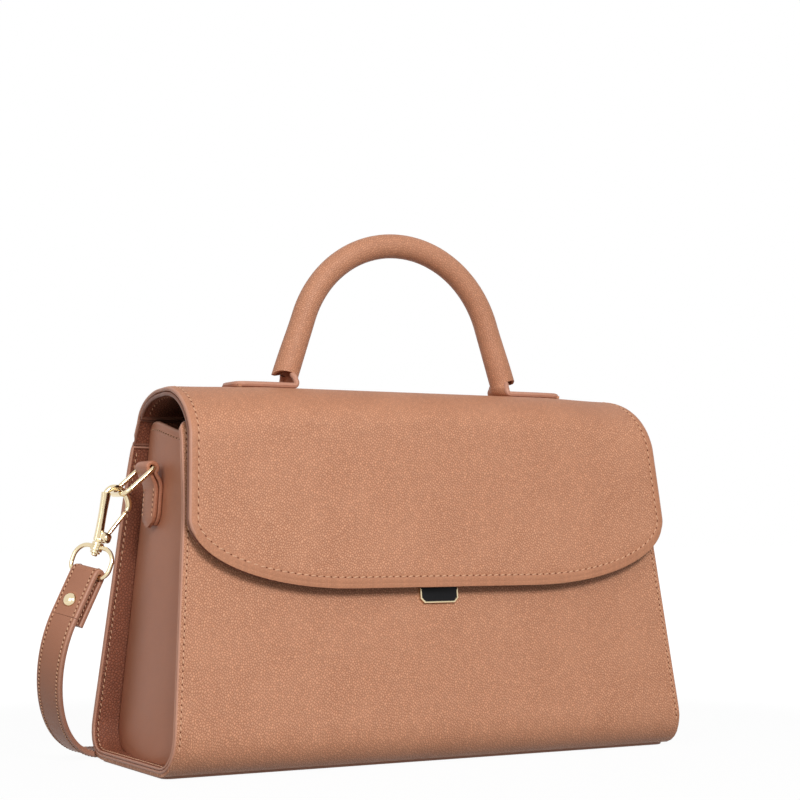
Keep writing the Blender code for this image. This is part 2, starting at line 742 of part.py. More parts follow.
def side_tab():
    """Folded leather tab on the gusset that holds the D-ring's bar."""
    eye = TAB_EYE
    outer = eye + TAB_SIDE
    wall_top = -gusset_x(0.5, RING_BAR_HEIGHT) - TOUCH
    wall_end = -gusset_x(0.5, TAB_SIDE_END) - TOUCH
    top = (-RING_BAR_OUT, RING_BAR_HEIGHT)
    loop = []
    for i in range(13):
        angle = radians(-75 + 255 * i / 12)
        loop.append((top[0] + outer * cos(angle), top[1] + outer * sin(angle)))
    start = (wall_top, RING_BAR_HEIGHT - outer)
    outline = [(wall_end, TAB_SIDE_END), (wall_top - OVERRUN / 10, start[1])] + loop[4:]
    outline += [(wall_top - 2 * TAB_SIDE, RING_BAR_HEIGHT - 1.6 * outer),
                (wall_end - 1.6 * TAB_SIDE, TAB_SIDE_END)]
    flat = facing_front(RING_AT)
    tab = solid(prism("side_tab_left", outline, TAB_SIDE_WIDTH, flat, SMOOTH))
    cut(tab, prism("bar_hole", circle(eye, centre=top), TAB_SIDE_WIDTH + OVERRUN, flat, None, TOOLS))
    half = TAB_SIDE_WIDTH / 2
    angles = [radians(180 + 15 * i) for i in range(13)]
    round_end = [(half * cos(angle), half + half * sin(angle)) for angle in angles]
    side = half + OVERRUN
    end = round_end + [(side, half), (side, -OVERRUN), (-side, -OVERRUN), (-side, half)]
    across = facing_side(Vector((wall_end, RING_AT, TAB_SIDE_END)))
    cut(tab, prism("tab_end_cut", end, 6 * TAB_SIDE, across, None, TOOLS))
    mirrored(tab, "side_tab_right")


BAR = Vector((-RING_BAR_OUT, RING_AT, RING_BAR_HEIGHT))
HUB = Vector((-HUB_OUT, RING_AT, HUB_HEIGHT))
HOOK_U = Vector((cos(HOOK_LEAN), 0, -sin(HOOK_LEAN)))
HOOK_V = Vector((0, 1, 0))
HOOK_W = Vector((sin(HOOK_LEAN), 0, cos(HOOK_LEAN)))


def hook_point(u, w, v=0):
    return HUB + HOOK_U * u + HOOK_V * v + HOOK_W * w


def along_w(w, u=0):
    """A matrix whose Z axis is the hook's length."""
    return frame_matrix(hook_point(u, w), HOOK_U, HOOK_V, HOOK_W)


def across_v(u, w, v=0):
    """A matrix whose plane is the hook's own plane."""
    return frame_matrix(hook_point(u, w, v), HOOK_U, HOOK_W, -HOOK_V)


def hook_share(share):
    return share[0] * HOOK_WIDTH, share[1] * HOOK_LENGTH


def d_ring():
    """Rounded rectangle of wire that hangs by one bar."""
    droop = Vector((-cos(RING_DROOP), 0, -sin(RING_DROOP)))
    points = []
    for a, b in rounded_box(RING_WIDTH, RING_LENGTH, RING_CORNER, top_radius=RING_BAR_CORNER):
        points.append(BAR + Vector((0, 1, 0)) * a + droop * (RING_LENGTH / 2 - b))
    return tube("d_ring_left", points, RING_WIRE, GOLD, cyclic=True)


def hook_body():
    """Bow, side bar, lug, collar and the stem that turns in the hub."""
    bow = [hook_point(*hook_share(share)) for share in HOOK_BOW_SHARES]
    body_piece = solid(tube("hook_body_left", bow, HOOK_WIRE, GOLD))
    root, top = hook_share(HOOK_BAR_ROOT_SHARES), hook_share(HOOK_BOW_SHARES[1])
    length = hypot(top[0] - root[0], top[1] - root[1])
    lean = Vector(((top[0] - root[0]) / length, (top[1] - root[1]) / length))
    side_way, up_way = HOOK_U * lean.y - HOOK_W * lean.x, HOOK_U * lean.x + HOOK_W * lean.y
    middle = hook_point((root[0] + top[0]) / 2, (root[1] + top[1]) / 2)
    outline = rounded_box(HOOK_BAR_WIDTH, length + HOOK_WIRE, HOOK_WIRE)
    flat = frame_matrix(middle, side_way, up_way, -HOOK_V)
    join(body_piece, prism("hook_bar", outline, HOOK_BAR_DEPTH, flat, None, TOOLS))
    lug_centre = (PIVOT_ACROSS - LUG_WIDTH / 2 + EYE_RADIUS + TOUCH * 2, PIVOT_UP)
    join(body_piece, prism("hook_lug", rounded_box(LUG_WIDTH, LUG_HEIGHT, EYE_RADIUS), LUG_DEPTH,
                           across_v(*lug_centre), None, TOOLS))
    hub_top = HUB_LENGTH / 2
    base = hub_top + TOUCH
    collar_top = base + COLLAR
    under = -hub_top - TOUCH
    stem = [(0, collar_top), (COLLAR_RADIUS, collar_top), (COLLAR_RADIUS, base), (STEM_RADIUS, base),
            (STEM_RADIUS, under), (STEM_HEAD_RADIUS, under), (STEM_HEAD_RADIUS, under - STEM_HEAD),
            (STEM_TAIL_RADIUS, under - STEM_HEAD), (STEM_TAIL_RADIUS, under - STEM_HEAD - STEM_TAIL),
            (0, under - STEM_HEAD - STEM_TAIL)]
    join(body_piece, turned("hook_stem", stem, along_w(0), None, TOOLS))
    slot_left = PIVOT_ACROSS - EYE_RADIUS - TOUCH
    slot_low, slot_high = PIVOT_UP - EYE_RADIUS - TOUCH, PIVOT_UP + LUG_HEIGHT
    slot = [(slot_left, slot_low), (slot_left + 3 * EYE_RADIUS, slot_low),
            (slot_left + 4 * EYE_RADIUS, slot_high), (slot_left, slot_high)]
    cut(body_piece, prism("lug_slot", slot, SLOT_DEPTH, across_v(0, 0), None, TOOLS))
    cut(body_piece, prism("pin_hole", circle(PIN_RADIUS + TOUCH, centre=(PIVOT_ACROSS, PIVOT_UP)),
                          LUG_DEPTH + OVERRUN, across_v(0, 0), None, TOOLS))
    return body_piece


def gate_pin():
    """Rivet through the lug that the gate turns on."""
    half = LUG_DEPTH / 2 + TOUCH
    profile = [(0, half + PIN_HEAD), (PIN_HEAD_RADIUS * 0.7, half + PIN_HEAD), (PIN_HEAD_RADIUS, half),
               (PIN_RADIUS, half), (PIN_RADIUS, -half), (PIN_HEAD_RADIUS, -half),
               (PIN_HEAD_RADIUS * 0.7, -half - PIN_HEAD), (0, -half - PIN_HEAD)]
    return turned("gate_pin_left", profile, across_v(PIVOT_ACROSS, PIVOT_UP), GOLD)


def gate():
    """Lever gate from its eye on the pin to the nose of the hook, and its small spring."""
    eye_v = -(SLOT_DEPTH / 2 - TOUCH - EYE_DEPTH / 2)
    pivot = (PIVOT_ACROSS, PIVOT_UP)
    round_eye = circle(EYE_RADIUS, centre=pivot)
    eye = solid(prism("hook_gate_left", round_eye, EYE_DEPTH, across_v(0, 0, eye_v), GOLD))
    nose = hook_share(HOOK_BOW_SHARES[-1])
    reach = hypot(nose[0] - pivot[0], nose[1] - pivot[1])
    way = ((nose[0] - pivot[0]) / reach, (nose[1] - pivot[1]) / reach)
    start = (pivot[0] + way[0] * EYE_RADIUS * 0.9, pivot[1] + way[1] * EYE_RADIUS * 0.9)
    middle = (pivot[0] + way[0] * reach / 3, pivot[1] + way[1] * reach / 3)
    tip = (nose[0] - way[0] * (GATE_GAP + TOUCH), nose[1] - way[1] * (GATE_GAP + TOUCH))
    points = [hook_point(*start, eye_v), hook_point(*middle, eye_v / 2), hook_point(*tip)]
    join(eye, tube("gate_lever", points, GATE_WIRE, None, collection=TOOLS))
    hole = circle(PIN_RADIUS + TOUCH, centre=pivot)
    cut(eye, prism("gate_hole", hole, SLOT_DEPTH, across_v(0, 0), None, TOOLS))
    spring_v = SLOT_DEPTH / 2 - TOUCH - SPRING_DEPTH / 2
    spring = solid(prism("gate_spring_left", circle(SPRING_RADIUS, centre=pivot), SPRING_DEPTH,
                         across_v(0, 0, spring_v), STEEL))
    cut(spring, prism("spring_hole", hole, SLOT_DEPTH, across_v(0, 0, spring_v), None, TOOLS))
    return eye, spring


# The strap ring's bar and the faces of the strap
RING_B = Vector((cos(STRAP_TURN), -sin(STRAP_TURN), -cos(STRAP_TURN) * HOOK_W.x / HOOK_W.z)).normalized()
RING_N = HOOK_W.cross(RING_B)
RING_BOTTOM = HUB - HOOK_W * STRAP_RING_HEIGHT
STRAP_DOWN = HOOK_W * -cos(STRAP_SWING) + RING_N * sin(STRAP_SWING)
STRAP_FACE = STRAP_DOWN.cross(RING_B).normalized()


def strap_ring():
    """Oval ring cast in one with the hub that the hook's stem turns in."""
    ring = solid(turned("strap_ring_left", rod(HUB_RADIUS, HUB_LENGTH / 2), along_w(0), GOLD))
    centre = HUB - HOOK_W * (STRAP_RING_HEIGHT / 2)
    outline = rounded_box(2 * STRAP_RING_HALF_WIDTH, STRAP_RING_HEIGHT, STRAP_RING_CORNER,
                          top_radius=STRAP_RING_BOW)
    points = [centre + RING_B * a + HOOK_W * b for a, b in outline]
    join(ring, tube("strap_ring_wire", points, STRAP_RING_WIRE, None, cyclic=True, collection=TOOLS))
    bore = STEM_RADIUS + TOUCH
    cut(ring, turned("hub_bore", rod(bore, HUB_LENGTH), along_w(0), None, TOOLS))
    return ring


def ribbon(name, stations, thickness, material, side=0):
    """A strap along stations of centre and width direction."""
    def place(across, along):
        centre, width = stations[round(along * (len(stations) - 1))]
        return centre + width * ((across - 0.5) * STRAP_WIDTH)
    return sheet(name, 1, len(stations) - 1, place, thickness, material, side)


FOLD_IN = STRAP_RING_WIRE + STRAP_FOLD_PLAY
FOLD_MID = FOLD_IN + STRAP / 2


def strap_loop():
    """End of the strap, folded over the ring's lower side and riveted."""
    stations = []
    back = RING_BOTTOM - STRAP_FACE * FOLD_MID
    front = RING_BOTTOM + STRAP_FACE * FOLD_MID
    stations.append((back + STRAP_DOWN * LOOP_BACK_END, RING_B))
    stations.append((back + STRAP_DOWN * (LOOP_BACK_END / 2), RING_B))
    for i in range(9):
        angle = pi * i / 8
        way = STRAP_FACE * -cos(angle) - STRAP_DOWN * sin(angle)
        stations.append((RING_BOTTOM + way * FOLD_MID, RING_B))
    stations.append((front + STRAP_DOWN * (LOOP_END / 2), RING_B))
    stations.append((front + STRAP_DOWN * LOOP_END, RING_B))
    loop = solid(ribbon("strap_loop_left", stations, STRAP, STRAP_LEATHER))
    outer = FOLD_MID + STRAP / 2
    spot = RING_BOTTOM + STRAP_DOWN * RIVET_DOWN
    matrix = frame_matrix(spot, RING_B, -STRAP_DOWN, STRAP_FACE)
    hole = RIVET_SHANK + TOUCH
    cut(loop, turned("rivet_hole", rod(hole, outer + OVERRUN), matrix, None, TOOLS))
    seat = outer + TOUCH
    dome = [(RIVET_RADIUS * sin(radians(18 * i)), seat + RIVET_DOME * cos(radians(18 * i))) for i in range(6)]
    profile = dome + [(RIVET_SHANK, seat), (RIVET_SHANK, -seat), (RIVET_RADIUS, -seat),
                      (RIVET_RADIUS, -seat - RIVET_CAP), (0, -seat - RIVET_CAP)]
    rivet = turned("strap_rivet_left", profile, matrix, GOLD)
    return loop, rivet, front + STRAP_DOWN * (LOOP_END + TOUCH)


def bezier(points, share):
    a, b, c, d = points
    rest = 1 - share
    return a * rest ** 3 + b * (3 * rest ** 2 * share) + c * (3 * rest * share ** 2) + d * share ** 3


def square_to(width, run):
    """The width direction made square to the strap's run."""
    run = run.normalized()
    return (width - run * width.dot(run)).normalized()


FLOOR_Z = STRAP / 2 + FLOOR_RISE
LAND = Vector((-FLOOR_OUT, FLOOR_BACK, FLOOR_Z + STRAP_WIDTH / 2 * sin(FLOOR_TILT)))
LAND_RUN = Vector((cos(FLOOR_TURN), sin(FLOOR_TURN), 0))
LAND_SIDE = Vector((sin(FLOOR_TURN), -cos(FLOOR_TURN), 0))
LAND_WIDTH = LAND_SIDE * cos(FLOOR_TILT) - Vector((0, 0, sin(FLOOR_TILT)))


def strap_drop(start):
    """Hanging stretch from the loop to the floor beside the back corner."""
    points = (start, start + STRAP_DOWN * DROP_PULL, LAND - LAND_RUN * FLOOR_PULL, LAND)
    stations = []
    for i in range(DROP_STEPS + 1):
        share = i / DROP_STEPS
        ahead = bezier(points, min(1, share + 0.01)) - bezier(points, max(0, share - 0.01))
        width = RING_B.lerp(LAND_WIDTH, share)
        stations.append((bezier(points, share), square_to(width, ahead)))
    return ribbon("strap_drop_left", stations, STRAP, STRAP_LEATHER)


def spline_points(knots, steps):
    """A smooth curve through knots."""
    knots = [knots[0] * 2 - knots[1]] + knots + [knots[-1] * 2 - knots[-2]]
    points = []
    for a, b, c, d in zip(knots, knots[1:], knots[2:], knots[3:]):
        for i in range(steps):
            t = i / steps
            points.append((b * 2 + (c - a) * t + (a * 2 - b * 5 + c * 4 - d) * t ** 2
                           + (b * 3 - a - c * 3 + d) * t ** 3) / 2)
    return points + [knots[-2]]


def floor_y(x):
    """Y of the strap's middle on the floor, from where it lands to where it lies behind the bag."""
    share = min(1, max(0, (FLOOR_OUT - abs(x)) / FLOOR_DRIFT))
    start = sin(FLOOR_TURN) / cos(FLOOR_TURN) * FLOOR_DRIFT
    ease = share ** 2 * (3 - 2 * share)
    return FLOOR_BACK + start * share * (1 - share) ** 2 + (FOLD_BACK_AT - FLOOR_BACK) * ease


def fold_turn(end, side, low):
    """Places round a fold at one end, from below to its top."""
    return [(end + side * FOLD_RADIUS * cos(angle), low + FOLD_RADIUS * (1 + sin(angle)))
            for angle in (radians(-55 + 29 * i) for i in range(6))]


def fold_slope(end, side, high, low):
    """Places down the slope from the top of a fold to the layer that it lies on."""
    return [(end - side * FOLD_SLOPE * share, low + (high - low) * (0.5 + 0.5 * cos(pi * share)))
            for share in (0.25, 0.5, 0.75, 1)]


def strap_long():
    """Rest of the strap, folded flat behind the bag."""
    low = FLOOR_Z
    mid, high = low + FOLD_LAYER, low + 2 * FOLD_LAYER
    top = low + 2 * FOLD_RADIUS
    start = LAND + LAND_RUN * (2 * TOUCH)
    ends = start.x + FOLD_SLOPE, -FOLD_LEFT + FOLD_SLOPE, FOLD_RIGHT - FOLD_SLOPE
    places = [(ends[0] - FOLD_SLOPE / 2, low), (ends[0], low), (ends[1], low), (0, low), (ends[2], low),
              (FOLD_RIGHT - FOLD_RADIUS, low)]
    first = [Vector((x, floor_y(x), z)) for x, z in places]
    places = fold_turn(FOLD_RIGHT, 1, low) + fold_slope(FOLD_RIGHT, 1, top, mid)
    places += [(0, mid), (ends[1], mid), (-FOLD_LEFT + FOLD_RADIUS, mid)]
    places += fold_turn(-FOLD_LEFT, -1, mid) + fold_slope(-FOLD_LEFT, -1, top + FOLD_LAYER, high)
    places += [(0, high)] + fold_slope(FOLD_RIGHT, 1, top + FOLD_LAYER, high)[::-1]
    folds = [Vector((x, FOLD_BACK_AT, z)) for x, z in places]
    places = [(FOLD_RIGHT + FOLD_RADIUS / 4, top + FOLD_LAYER)]
    places += fold_slope(FOLD_RIGHT + FOLD_RADIUS / 2, -1.5, top + FOLD_LAYER, low)
    knots = [start] + first + folds + [Vector((x, floor_y(x), z)) for x, z in places]
    end = Vector((-start.x, start.y, start.z))
    knots += [end + Vector((-LAND_RUN.x, LAND_RUN.y, 0)) * FOLD_RADIUS, end]
    points = spline_points(knots, 3)
    flat = Vector((0, -1, 0))
    end_width = Vector((-LAND_WIDTH.x, LAND_WIDTH.y, LAND_WIDTH.z))
    stations = []
    for i, point in enumerate(points):
        ahead = points[min(len(points) - 1, i + 1)] - points[max(0, i - 1)]
        last = len(points) - 1 - i
        width = LAND_WIDTH.lerp(flat, min(1, i / 6)) if i < last else end_width.lerp(flat, min(1, last / 6))
        stations.append((point, square_to(width, ahead)))
    length = sum((b - a).length for a, b in zip(points, points[1:]))
    print(f"strap behind the bag: {length / MM:.0f} mm")
    return ribbon("strap_long", stations, STRAP, STRAP_LEATHER)


def hardware():
    """Ring, hook, gate and strap end of the left side, then their twins on the right."""
    ring = d_ring()
    hook = hook_body()
    pin = gate_pin()
    lever, spring = gate()
    strap_ring_piece = strap_ring()
    loop, rivet, start = strap_loop()
    drop = strap_drop(start)
    pieces = {"ring": [ring], "hook": [hook, pin, spring], "gate": [lever],
              "hang": [strap_ring_piece, loop, rivet, drop]}
    pivot = hook_point(PIVOT_ACROSS, PIVOT_UP)
    places = {"ring": BAR, "hook": HUB, "gate": pivot, "hang": BAR}
    for body_name, group in pieces.items():
        twins = [mirrored(piece, piece.name.replace("_left", "_right")) for piece in group]
        place = places[body_name]
        hinge(f"{body_name}_axis_left", place, group)
        hinge(f"{body_name}_axis_right", (-place.x, place.y, place.z), twins)
    strap_long()


floor_top, _ = body()
gussets()
lining(floor_top)
flap_pieces = flap()
flap_pieces += handle()
flap_pieces.append(catch())
hinge("flap_axis", (0, wall_y(BACK, BACK_HEIGHT), BACK_HEIGHT), flap_pieces)
side_tab()
hardware()

for piece in BAG.objects:
    if piece.type == "MESH":
        shade(piece)

print(f"flap axis y {wall_y(BACK, BACK_HEIGHT) / MM:.2f} z {BACK_HEIGHT / MM:.2f}")
print(f"gate pivot {[round(c / MM, 3) for c in hook_point(PIVOT_ACROSS, PIVOT_UP)]}")
print(f"hook length axis {[round(c, 5) for c in HOOK_W]}")
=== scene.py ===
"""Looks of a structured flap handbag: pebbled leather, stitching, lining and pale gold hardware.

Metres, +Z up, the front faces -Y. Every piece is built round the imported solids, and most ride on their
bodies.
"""
from bisect import bisect_right
from math import asin, atan, ceil, cos, exp, hypot, pi, radians, sin, sqrt, tan

import bmesh
import bpy
from mathutils import Matrix, Vector


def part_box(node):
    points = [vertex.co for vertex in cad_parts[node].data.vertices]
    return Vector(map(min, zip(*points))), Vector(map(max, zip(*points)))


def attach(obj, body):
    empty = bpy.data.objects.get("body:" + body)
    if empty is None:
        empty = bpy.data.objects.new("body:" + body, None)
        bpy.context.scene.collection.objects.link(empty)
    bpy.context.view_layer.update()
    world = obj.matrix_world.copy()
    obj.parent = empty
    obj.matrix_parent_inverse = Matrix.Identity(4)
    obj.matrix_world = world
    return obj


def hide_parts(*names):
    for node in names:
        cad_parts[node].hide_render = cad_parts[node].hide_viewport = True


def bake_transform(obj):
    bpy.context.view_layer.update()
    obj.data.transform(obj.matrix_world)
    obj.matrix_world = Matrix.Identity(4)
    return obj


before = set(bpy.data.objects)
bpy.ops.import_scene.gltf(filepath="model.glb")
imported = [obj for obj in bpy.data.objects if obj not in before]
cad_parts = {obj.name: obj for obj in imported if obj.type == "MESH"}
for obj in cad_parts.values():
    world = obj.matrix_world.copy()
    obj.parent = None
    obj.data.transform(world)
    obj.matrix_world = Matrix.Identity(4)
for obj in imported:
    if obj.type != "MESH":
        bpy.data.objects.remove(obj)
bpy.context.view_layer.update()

MM = 0.001

# Camera, solved from the photograph: a level pinhole in front of the left side
PHOTO_SIZE = 800
FOCAL_PIXELS = 1908
HORIZON_PIXEL = 521.6
CAMERA_PLACE = Vector((-483.2, -864.1, 119.4)) * MM
CAMERA_TURN = radians(29.5)
SENSOR = 36

# Leather, as it is cut
TOUCH = 0.3 * MM
LEATHER = 1.5 * MM
FACING = 1.3 * MM
FLAP_LEATHER = 2.1 * MM
GUSSET = 2.2 * MM
LINING = 0.8 * MM
GROOVE = 0.15 * MM

# Body walls: how far each stands out at the floor, how it leans in and where it bends
HALF_WIDTH = 146.1 * MM
SIDE_LEAN = 0.0965
BACK_SIDE_LEAN = 0.118
FRONT_FLARE, FLARE_FROM, FLARE_OVER = 2.5 * MM, 120 * MM, 45 * MM
DEPTH_BLEND = 60 * MM
SOLE = 2.2 * MM
SOLE_CORNER = 5 * MM
BASE_CORNER = 16 * MM
WRAP_BASE = SOLE + TOUCH
FRONT_FOOT, FRONT_LEAN, FRONT_HEIGHT = 59.1 * MM, 0.1305, 167 * MM
FRONT_BEND_FROM, FRONT_BEND = 156 * MM, 4 * MM
BACK_FOOT, BACK_LEAN, BACK_HEIGHT = 53.5 * MM, 0.075, 170 * MM
BACK_BEND_FROM, BACK_BEND = 140 * MM, 4.2 * MM
FRONT_TOP_CORNER = 5 * MM
COVER_FROM = 160 * MM
FACING_TO = 158 * MM
STRIP_RISE = 1.7 * MM
LAYERS = LEATHER + TOUCH + FACING + TOUCH
WRAP_COLUMNS, WRAP_STEP, BINDING_STEP = 60, 4 * MM, 1.5 * MM
PROFILE_STEPS, CORNER_STEPS = 70, 12

# Gussets
GUSSET_HALF_WIDTH = 132 * MM
GUSSET_LEAN = 0.085
GUSSET_BULGE = 5 * MM
GUSSET_TOP_BACK = 169.5 * MM
GUSSET_TOP_FRONT = 160.5 * MM
GUSSET_PEAK = 0.86
GUSSET_FLARE, GUSSET_FLARE_FROM, GUSSET_FLARE_OVER = 1.1 * MM, 150 * MM, 15 * MM
GUSSET_FOLD, GUSSET_FOLD_LENGTH = 1.2 * MM, 38 * MM
GUSSET_BACK_CORNER = 1.6 * MM
GUSSET_COLUMNS, GUSSET_ROWS, GUSSET_RIM_STEPS = 26, 56, 40
GUSSET_SEAM_AT = 1 - 0.0124

# Lining: how far it stands in from the walls, and how it hangs
LINING_CORNER = 9 * MM
LINING_FOOT_IN = 12 * MM
LINING_FRONT_IN, LINING_BACK_IN, LINING_SIDE_IN = 2.6 * MM, 3.4 * MM, 3.4 * MM
LINING_SLACK, SLACK_LENGTH, SLACK_REACH = 0.9 * MM, 21 * MM, 60 * MM
LINING_ROWS, LINING_CORNER_STEPS = 26, 10

# Flap
FLAP_TOP = 185.2 * MM
FLAP_STAND_OFF = 8.4 * MM
FLAP_BOTTOM = 88.4 * MM
FLAP_HALF_WIDTH = 136 * MM
FLAP_CORNER_ACROSS = 84 * MM
FLAP_CORNER_UP = 32.5 * MM
BACK_SHOULDER_FROM = 165 * MM
STRAIGHT_FROM = 158 * MM
MIDDLE_FLAT_BACK, MIDDLE_FLAT_FRONT, MIDDLE_SHOULDER_FROM = 8 * MM, 18 * MM, 166 * MM
END_FLAT_BACK, END_FLAT_FRONT, END_SHOULDER_FROM = 0.0, 8 * MM, 158 * MM
END_SAG = 0.5 * MM
FLAP_SHIFT = 1.2 * MM
ROUND_FROM, ROUND_BY = 75 * MM, 128 * MM
FLAP_LINING_FROM = 173.5 * MM
RIM_ROLL, RIM_WIDTH = 0.7 * MM, 3.4 * MM
SEAM_SINK = 0.2 * MM
RIM_STEPS = [step * MM for step in (0, 0.45, 1.05, 1.75, 2.5, 3.25, 4.0, 5.2, 7.0)]
MIDDLE_COLUMNS = 44
FLAP_STEP, PROFILE_STEP = 2.2 * MM, 2 * MM

# Rolled handle and its tongues
HANDLE_AT = -7 * MM
HANDLE_RADIUS = 6.15 * MM
HANDLE_WALL = 1.4 * MM
HANDLE_TOP = 261.2 * MM
HANDLE_ARC = 56.6 * MM
HANDLE_FLARE = radians(18.4)
HANDLE_FOOT_RADIUS = 6.65 * MM
HANDLE_MOUTH = 6.3 * MM
MOUTH_SLANT = 3.0 * MM
TONGUE_END = 94.2 * MM
TONGUE_HALF_WIDTH = 9 * MM
TONGUE_CORNER = 4 * MM
TONGUE_TURN = 5.2 * MM
TONGUE_BACKING = 1.3 * MM
TONGUE_COLUMNS, ROLL_COLUMNS = 16, 14
ARC_STEPS, LEG_STEPS, OPENING_STEPS, TURN_STEPS, TONGUE_STEPS = 29, 14, 6, 10, 14
OPENED_BY, TURN_CURL = 0.48, 0.45
MOUTH_SLANT_OVER = 14 * MM
BACKING_SHARE = 0.94

# Catch plate
PLATE_WIDTH = 21.5 * MM
PLATE_BOTTOM = 79 * MM
PLATE_HEIGHT = 24 * MM
PLATE = 1.6 * MM
PLATE_RIM = 0.8 * MM
PLATE_CHAMFER = 2.2 * MM
INLAY_DROP = 0.35 * MM
INLAY = 0.5 * MM
INLAY_SINK = 0.25 * MM

# Side tab, D-ring and snap hook, on the left side
RING_BAR_HEIGHT = 145.5 * MM
RING_BAR_OUT = 131.0025 * MM
RING_AT = 10 * MM
RING_WIRE = 1.2 * MM
RING_LENGTH = 20 * MM
RING_WIDTH = 19.4 * MM
RING_CORNER = 4.5 * MM
RING_BAR_CORNER = 1.25 * MM
RING_DROOP = radians(40.5)
SIDE_TAB_WIDTH = 15.6 * MM
SIDE_TAB = 2 * MM
SIDE_TAB_END = 116.5 * MM
SIDE_TAB_EYE = 1.6 * MM
SIDE_TAB_ACROSS = 0.62
SIDE_TAB_STEP, SIDE_TAB_TURN_STEPS = 3 * MM, 18
SIDE_TAB_SEAM_IN = 1.7 * MM
HOOK_LEAN = radians(20.4)
HUB = Vector((-156.8025, 10, 107.2)) * MM
HUB_RADIUS = 2.9 * MM
HUB_LENGTH = 4.3 * MM
HOOK_LENGTH = 30.4 * MM
HOOK_WIDTH = 12.5 * MM
HOOK_WIRE = 1.5 * MM
HOOK_BAR_WIDTH = 4.2 * MM
HOOK_BAR_DEPTH = 3.3 * MM
COLLAR_RADIUS = 2.7 * MM
COLLAR = 1.4 * MM
STEM_RADIUS = 1.3 * MM
STEM_HEAD_RADIUS = 2.4 * MM
LUG_WIDTH, LUG_HEIGHT, LUG_DEPTH = 5.6 * MM, 4.9 * MM, 4.8 * MM
SLOT_DEPTH = 3 * MM
PIVOT_ACROSS = 2.4 * MM
PIVOT_UP = 5.4 * MM
PIN_RADIUS = 0.8 * MM
PIN_HEAD_RADIUS = 1.4 * MM
EYE_RADIUS = 1.7 * MM
EYE_DEPTH = 1.4 * MM
GATE_WIRE = 1.05 * MM
GATE_GAP = 0.4 * MM
HOOK_BOW_SHARES = ((-0.365, 0.77), (-0.365, 0.84), (-0.34, 0.90), (-0.25, 0.957), (-0.10, 0.993),
                   (0.06, 1.0), (0.23, 0.985), (0.40, 0.945), (0.54, 0.89), (0.635, 0.83), (0.68, 0.77),
                   (0.675, 0.715))
HOOK_BAR_ROOT_SHARES = (-0.06, 0.13)

# Strap ring and strap
STRAP_RING_HALF_WIDTH = 11.5 * MM
STRAP_RING_HEIGHT = 14.4 * MM
STRAP_RING_WIRE = 1.1 * MM
STRAP_RING_CORNER = 5 * MM
STRAP_RING_BOW = 7 * MM
STRAP_TURN = radians(58)
STRAP_WIDTH = 15.5 * MM
STRAP = 2.8 * MM
STRAP_CORNER = 0.85 * MM
STRAP_FOLD_PLAY = 0.35 * MM
STRAP_SWING = radians(-8)
RIVET_DOWN = 15 * MM
LOOP_END = 23 * MM
LOOP_BACK_END = 25 * MM
RIVET_RADIUS = 3.5 * MM
RIVET_DOME = 2.1 * MM
DROP_PULL = 32 * MM
FLOOR_PULL = 30 * MM
FLOOR_OUT = 140 * MM
FLOOR_BACK = 54.3 * MM
FLOOR_RISE = 0.4 * MM
FLOOR_TILT = radians(6)
FLOOR_TURN = radians(14)
FOLD_BACK_AT = 71 * MM
FOLD_RADIUS = 7 * MM
FOLD_RIGHT = 62 * MM
FOLD_LEFT = 112 * MM
FOLD_LAYER = 3.8 * MM
FOLD_SLOPE = 42 * MM
FLOOR_DRIFT = 60 * MM
DROP_STEPS = 48
FLATTEN_OVER = 10

# Sewing
FLAP_PITCH = 3.8 * MM
SEAM_PITCH = 3.1 * MM
STRAP_PITCH = 2.3 * MM
FLAP_SEAM_IN = 4.3 * MM
SIDE_SEAM_IN = 2.6 * MM
STRAP_SEAM_IN = 2.1 * MM
THREAD = 0.3 * MM
STITCH_SLANT = radians(14)
STITCH_LIFT = 0.12 * MM

# Light and surroundings
AMBIENT = 0.33
FLOOR_HALF = 6
FLOOR_GREY = 0.3
FLOOR_WHITE = 1.12
# Share of plain white in the floor near the bag, where its shadow falls, and how far out it becomes whole
FLOOR_GLOW, GLOW_FROM, GLOW_WHOLE = 0.85, 0.28, 0.6
AIM = (0, 0, 0.1)
KEY_PLACE, KEY_SIZE, KEY_WATTS = (-0.35, -1.7, 1.0), (0.6, 0.5), 25.5
SIDE_PLACE, SIDE_SIZE, SIDE_WATTS = (-1.5, -0.9, 0.9), (0.9, 0.9), 8


class Channel:
    """A node's output that takes Python arithmetic."""

    def __init__(self, finish, socket):
        self.finish = finish
        self.socket = socket

    def maths(self, operation, *others):
        return self.finish.node("Math", {"operation": operation}, dict(enumerate(others)))

    def __add__(self, other):
        return self.maths("ADD", self, other)

    def __sub__(self, other):
        return self.maths("SUBTRACT", self, other)

    def __mul__(self, other):
        return self.maths("MULTIPLY", self, other)

    def __rsub__(self, other):
        return self.maths("SUBTRACT", other, self)

    __radd__ = __add__
    __rmul__ = __mul__

    def clamped(self):
        """Held between 0 and 1."""
        return self.finish.node("Clamp", {}, {"Value": self})

    def stepped(self, low, high):
        """A smooth step from 0 at low to 1 at high."""
        return self.finish.node("MapRange", {"interpolation_type": "SMOOTHSTEP"},
                                {"Value": self, "From Min": low, "From Max": high})


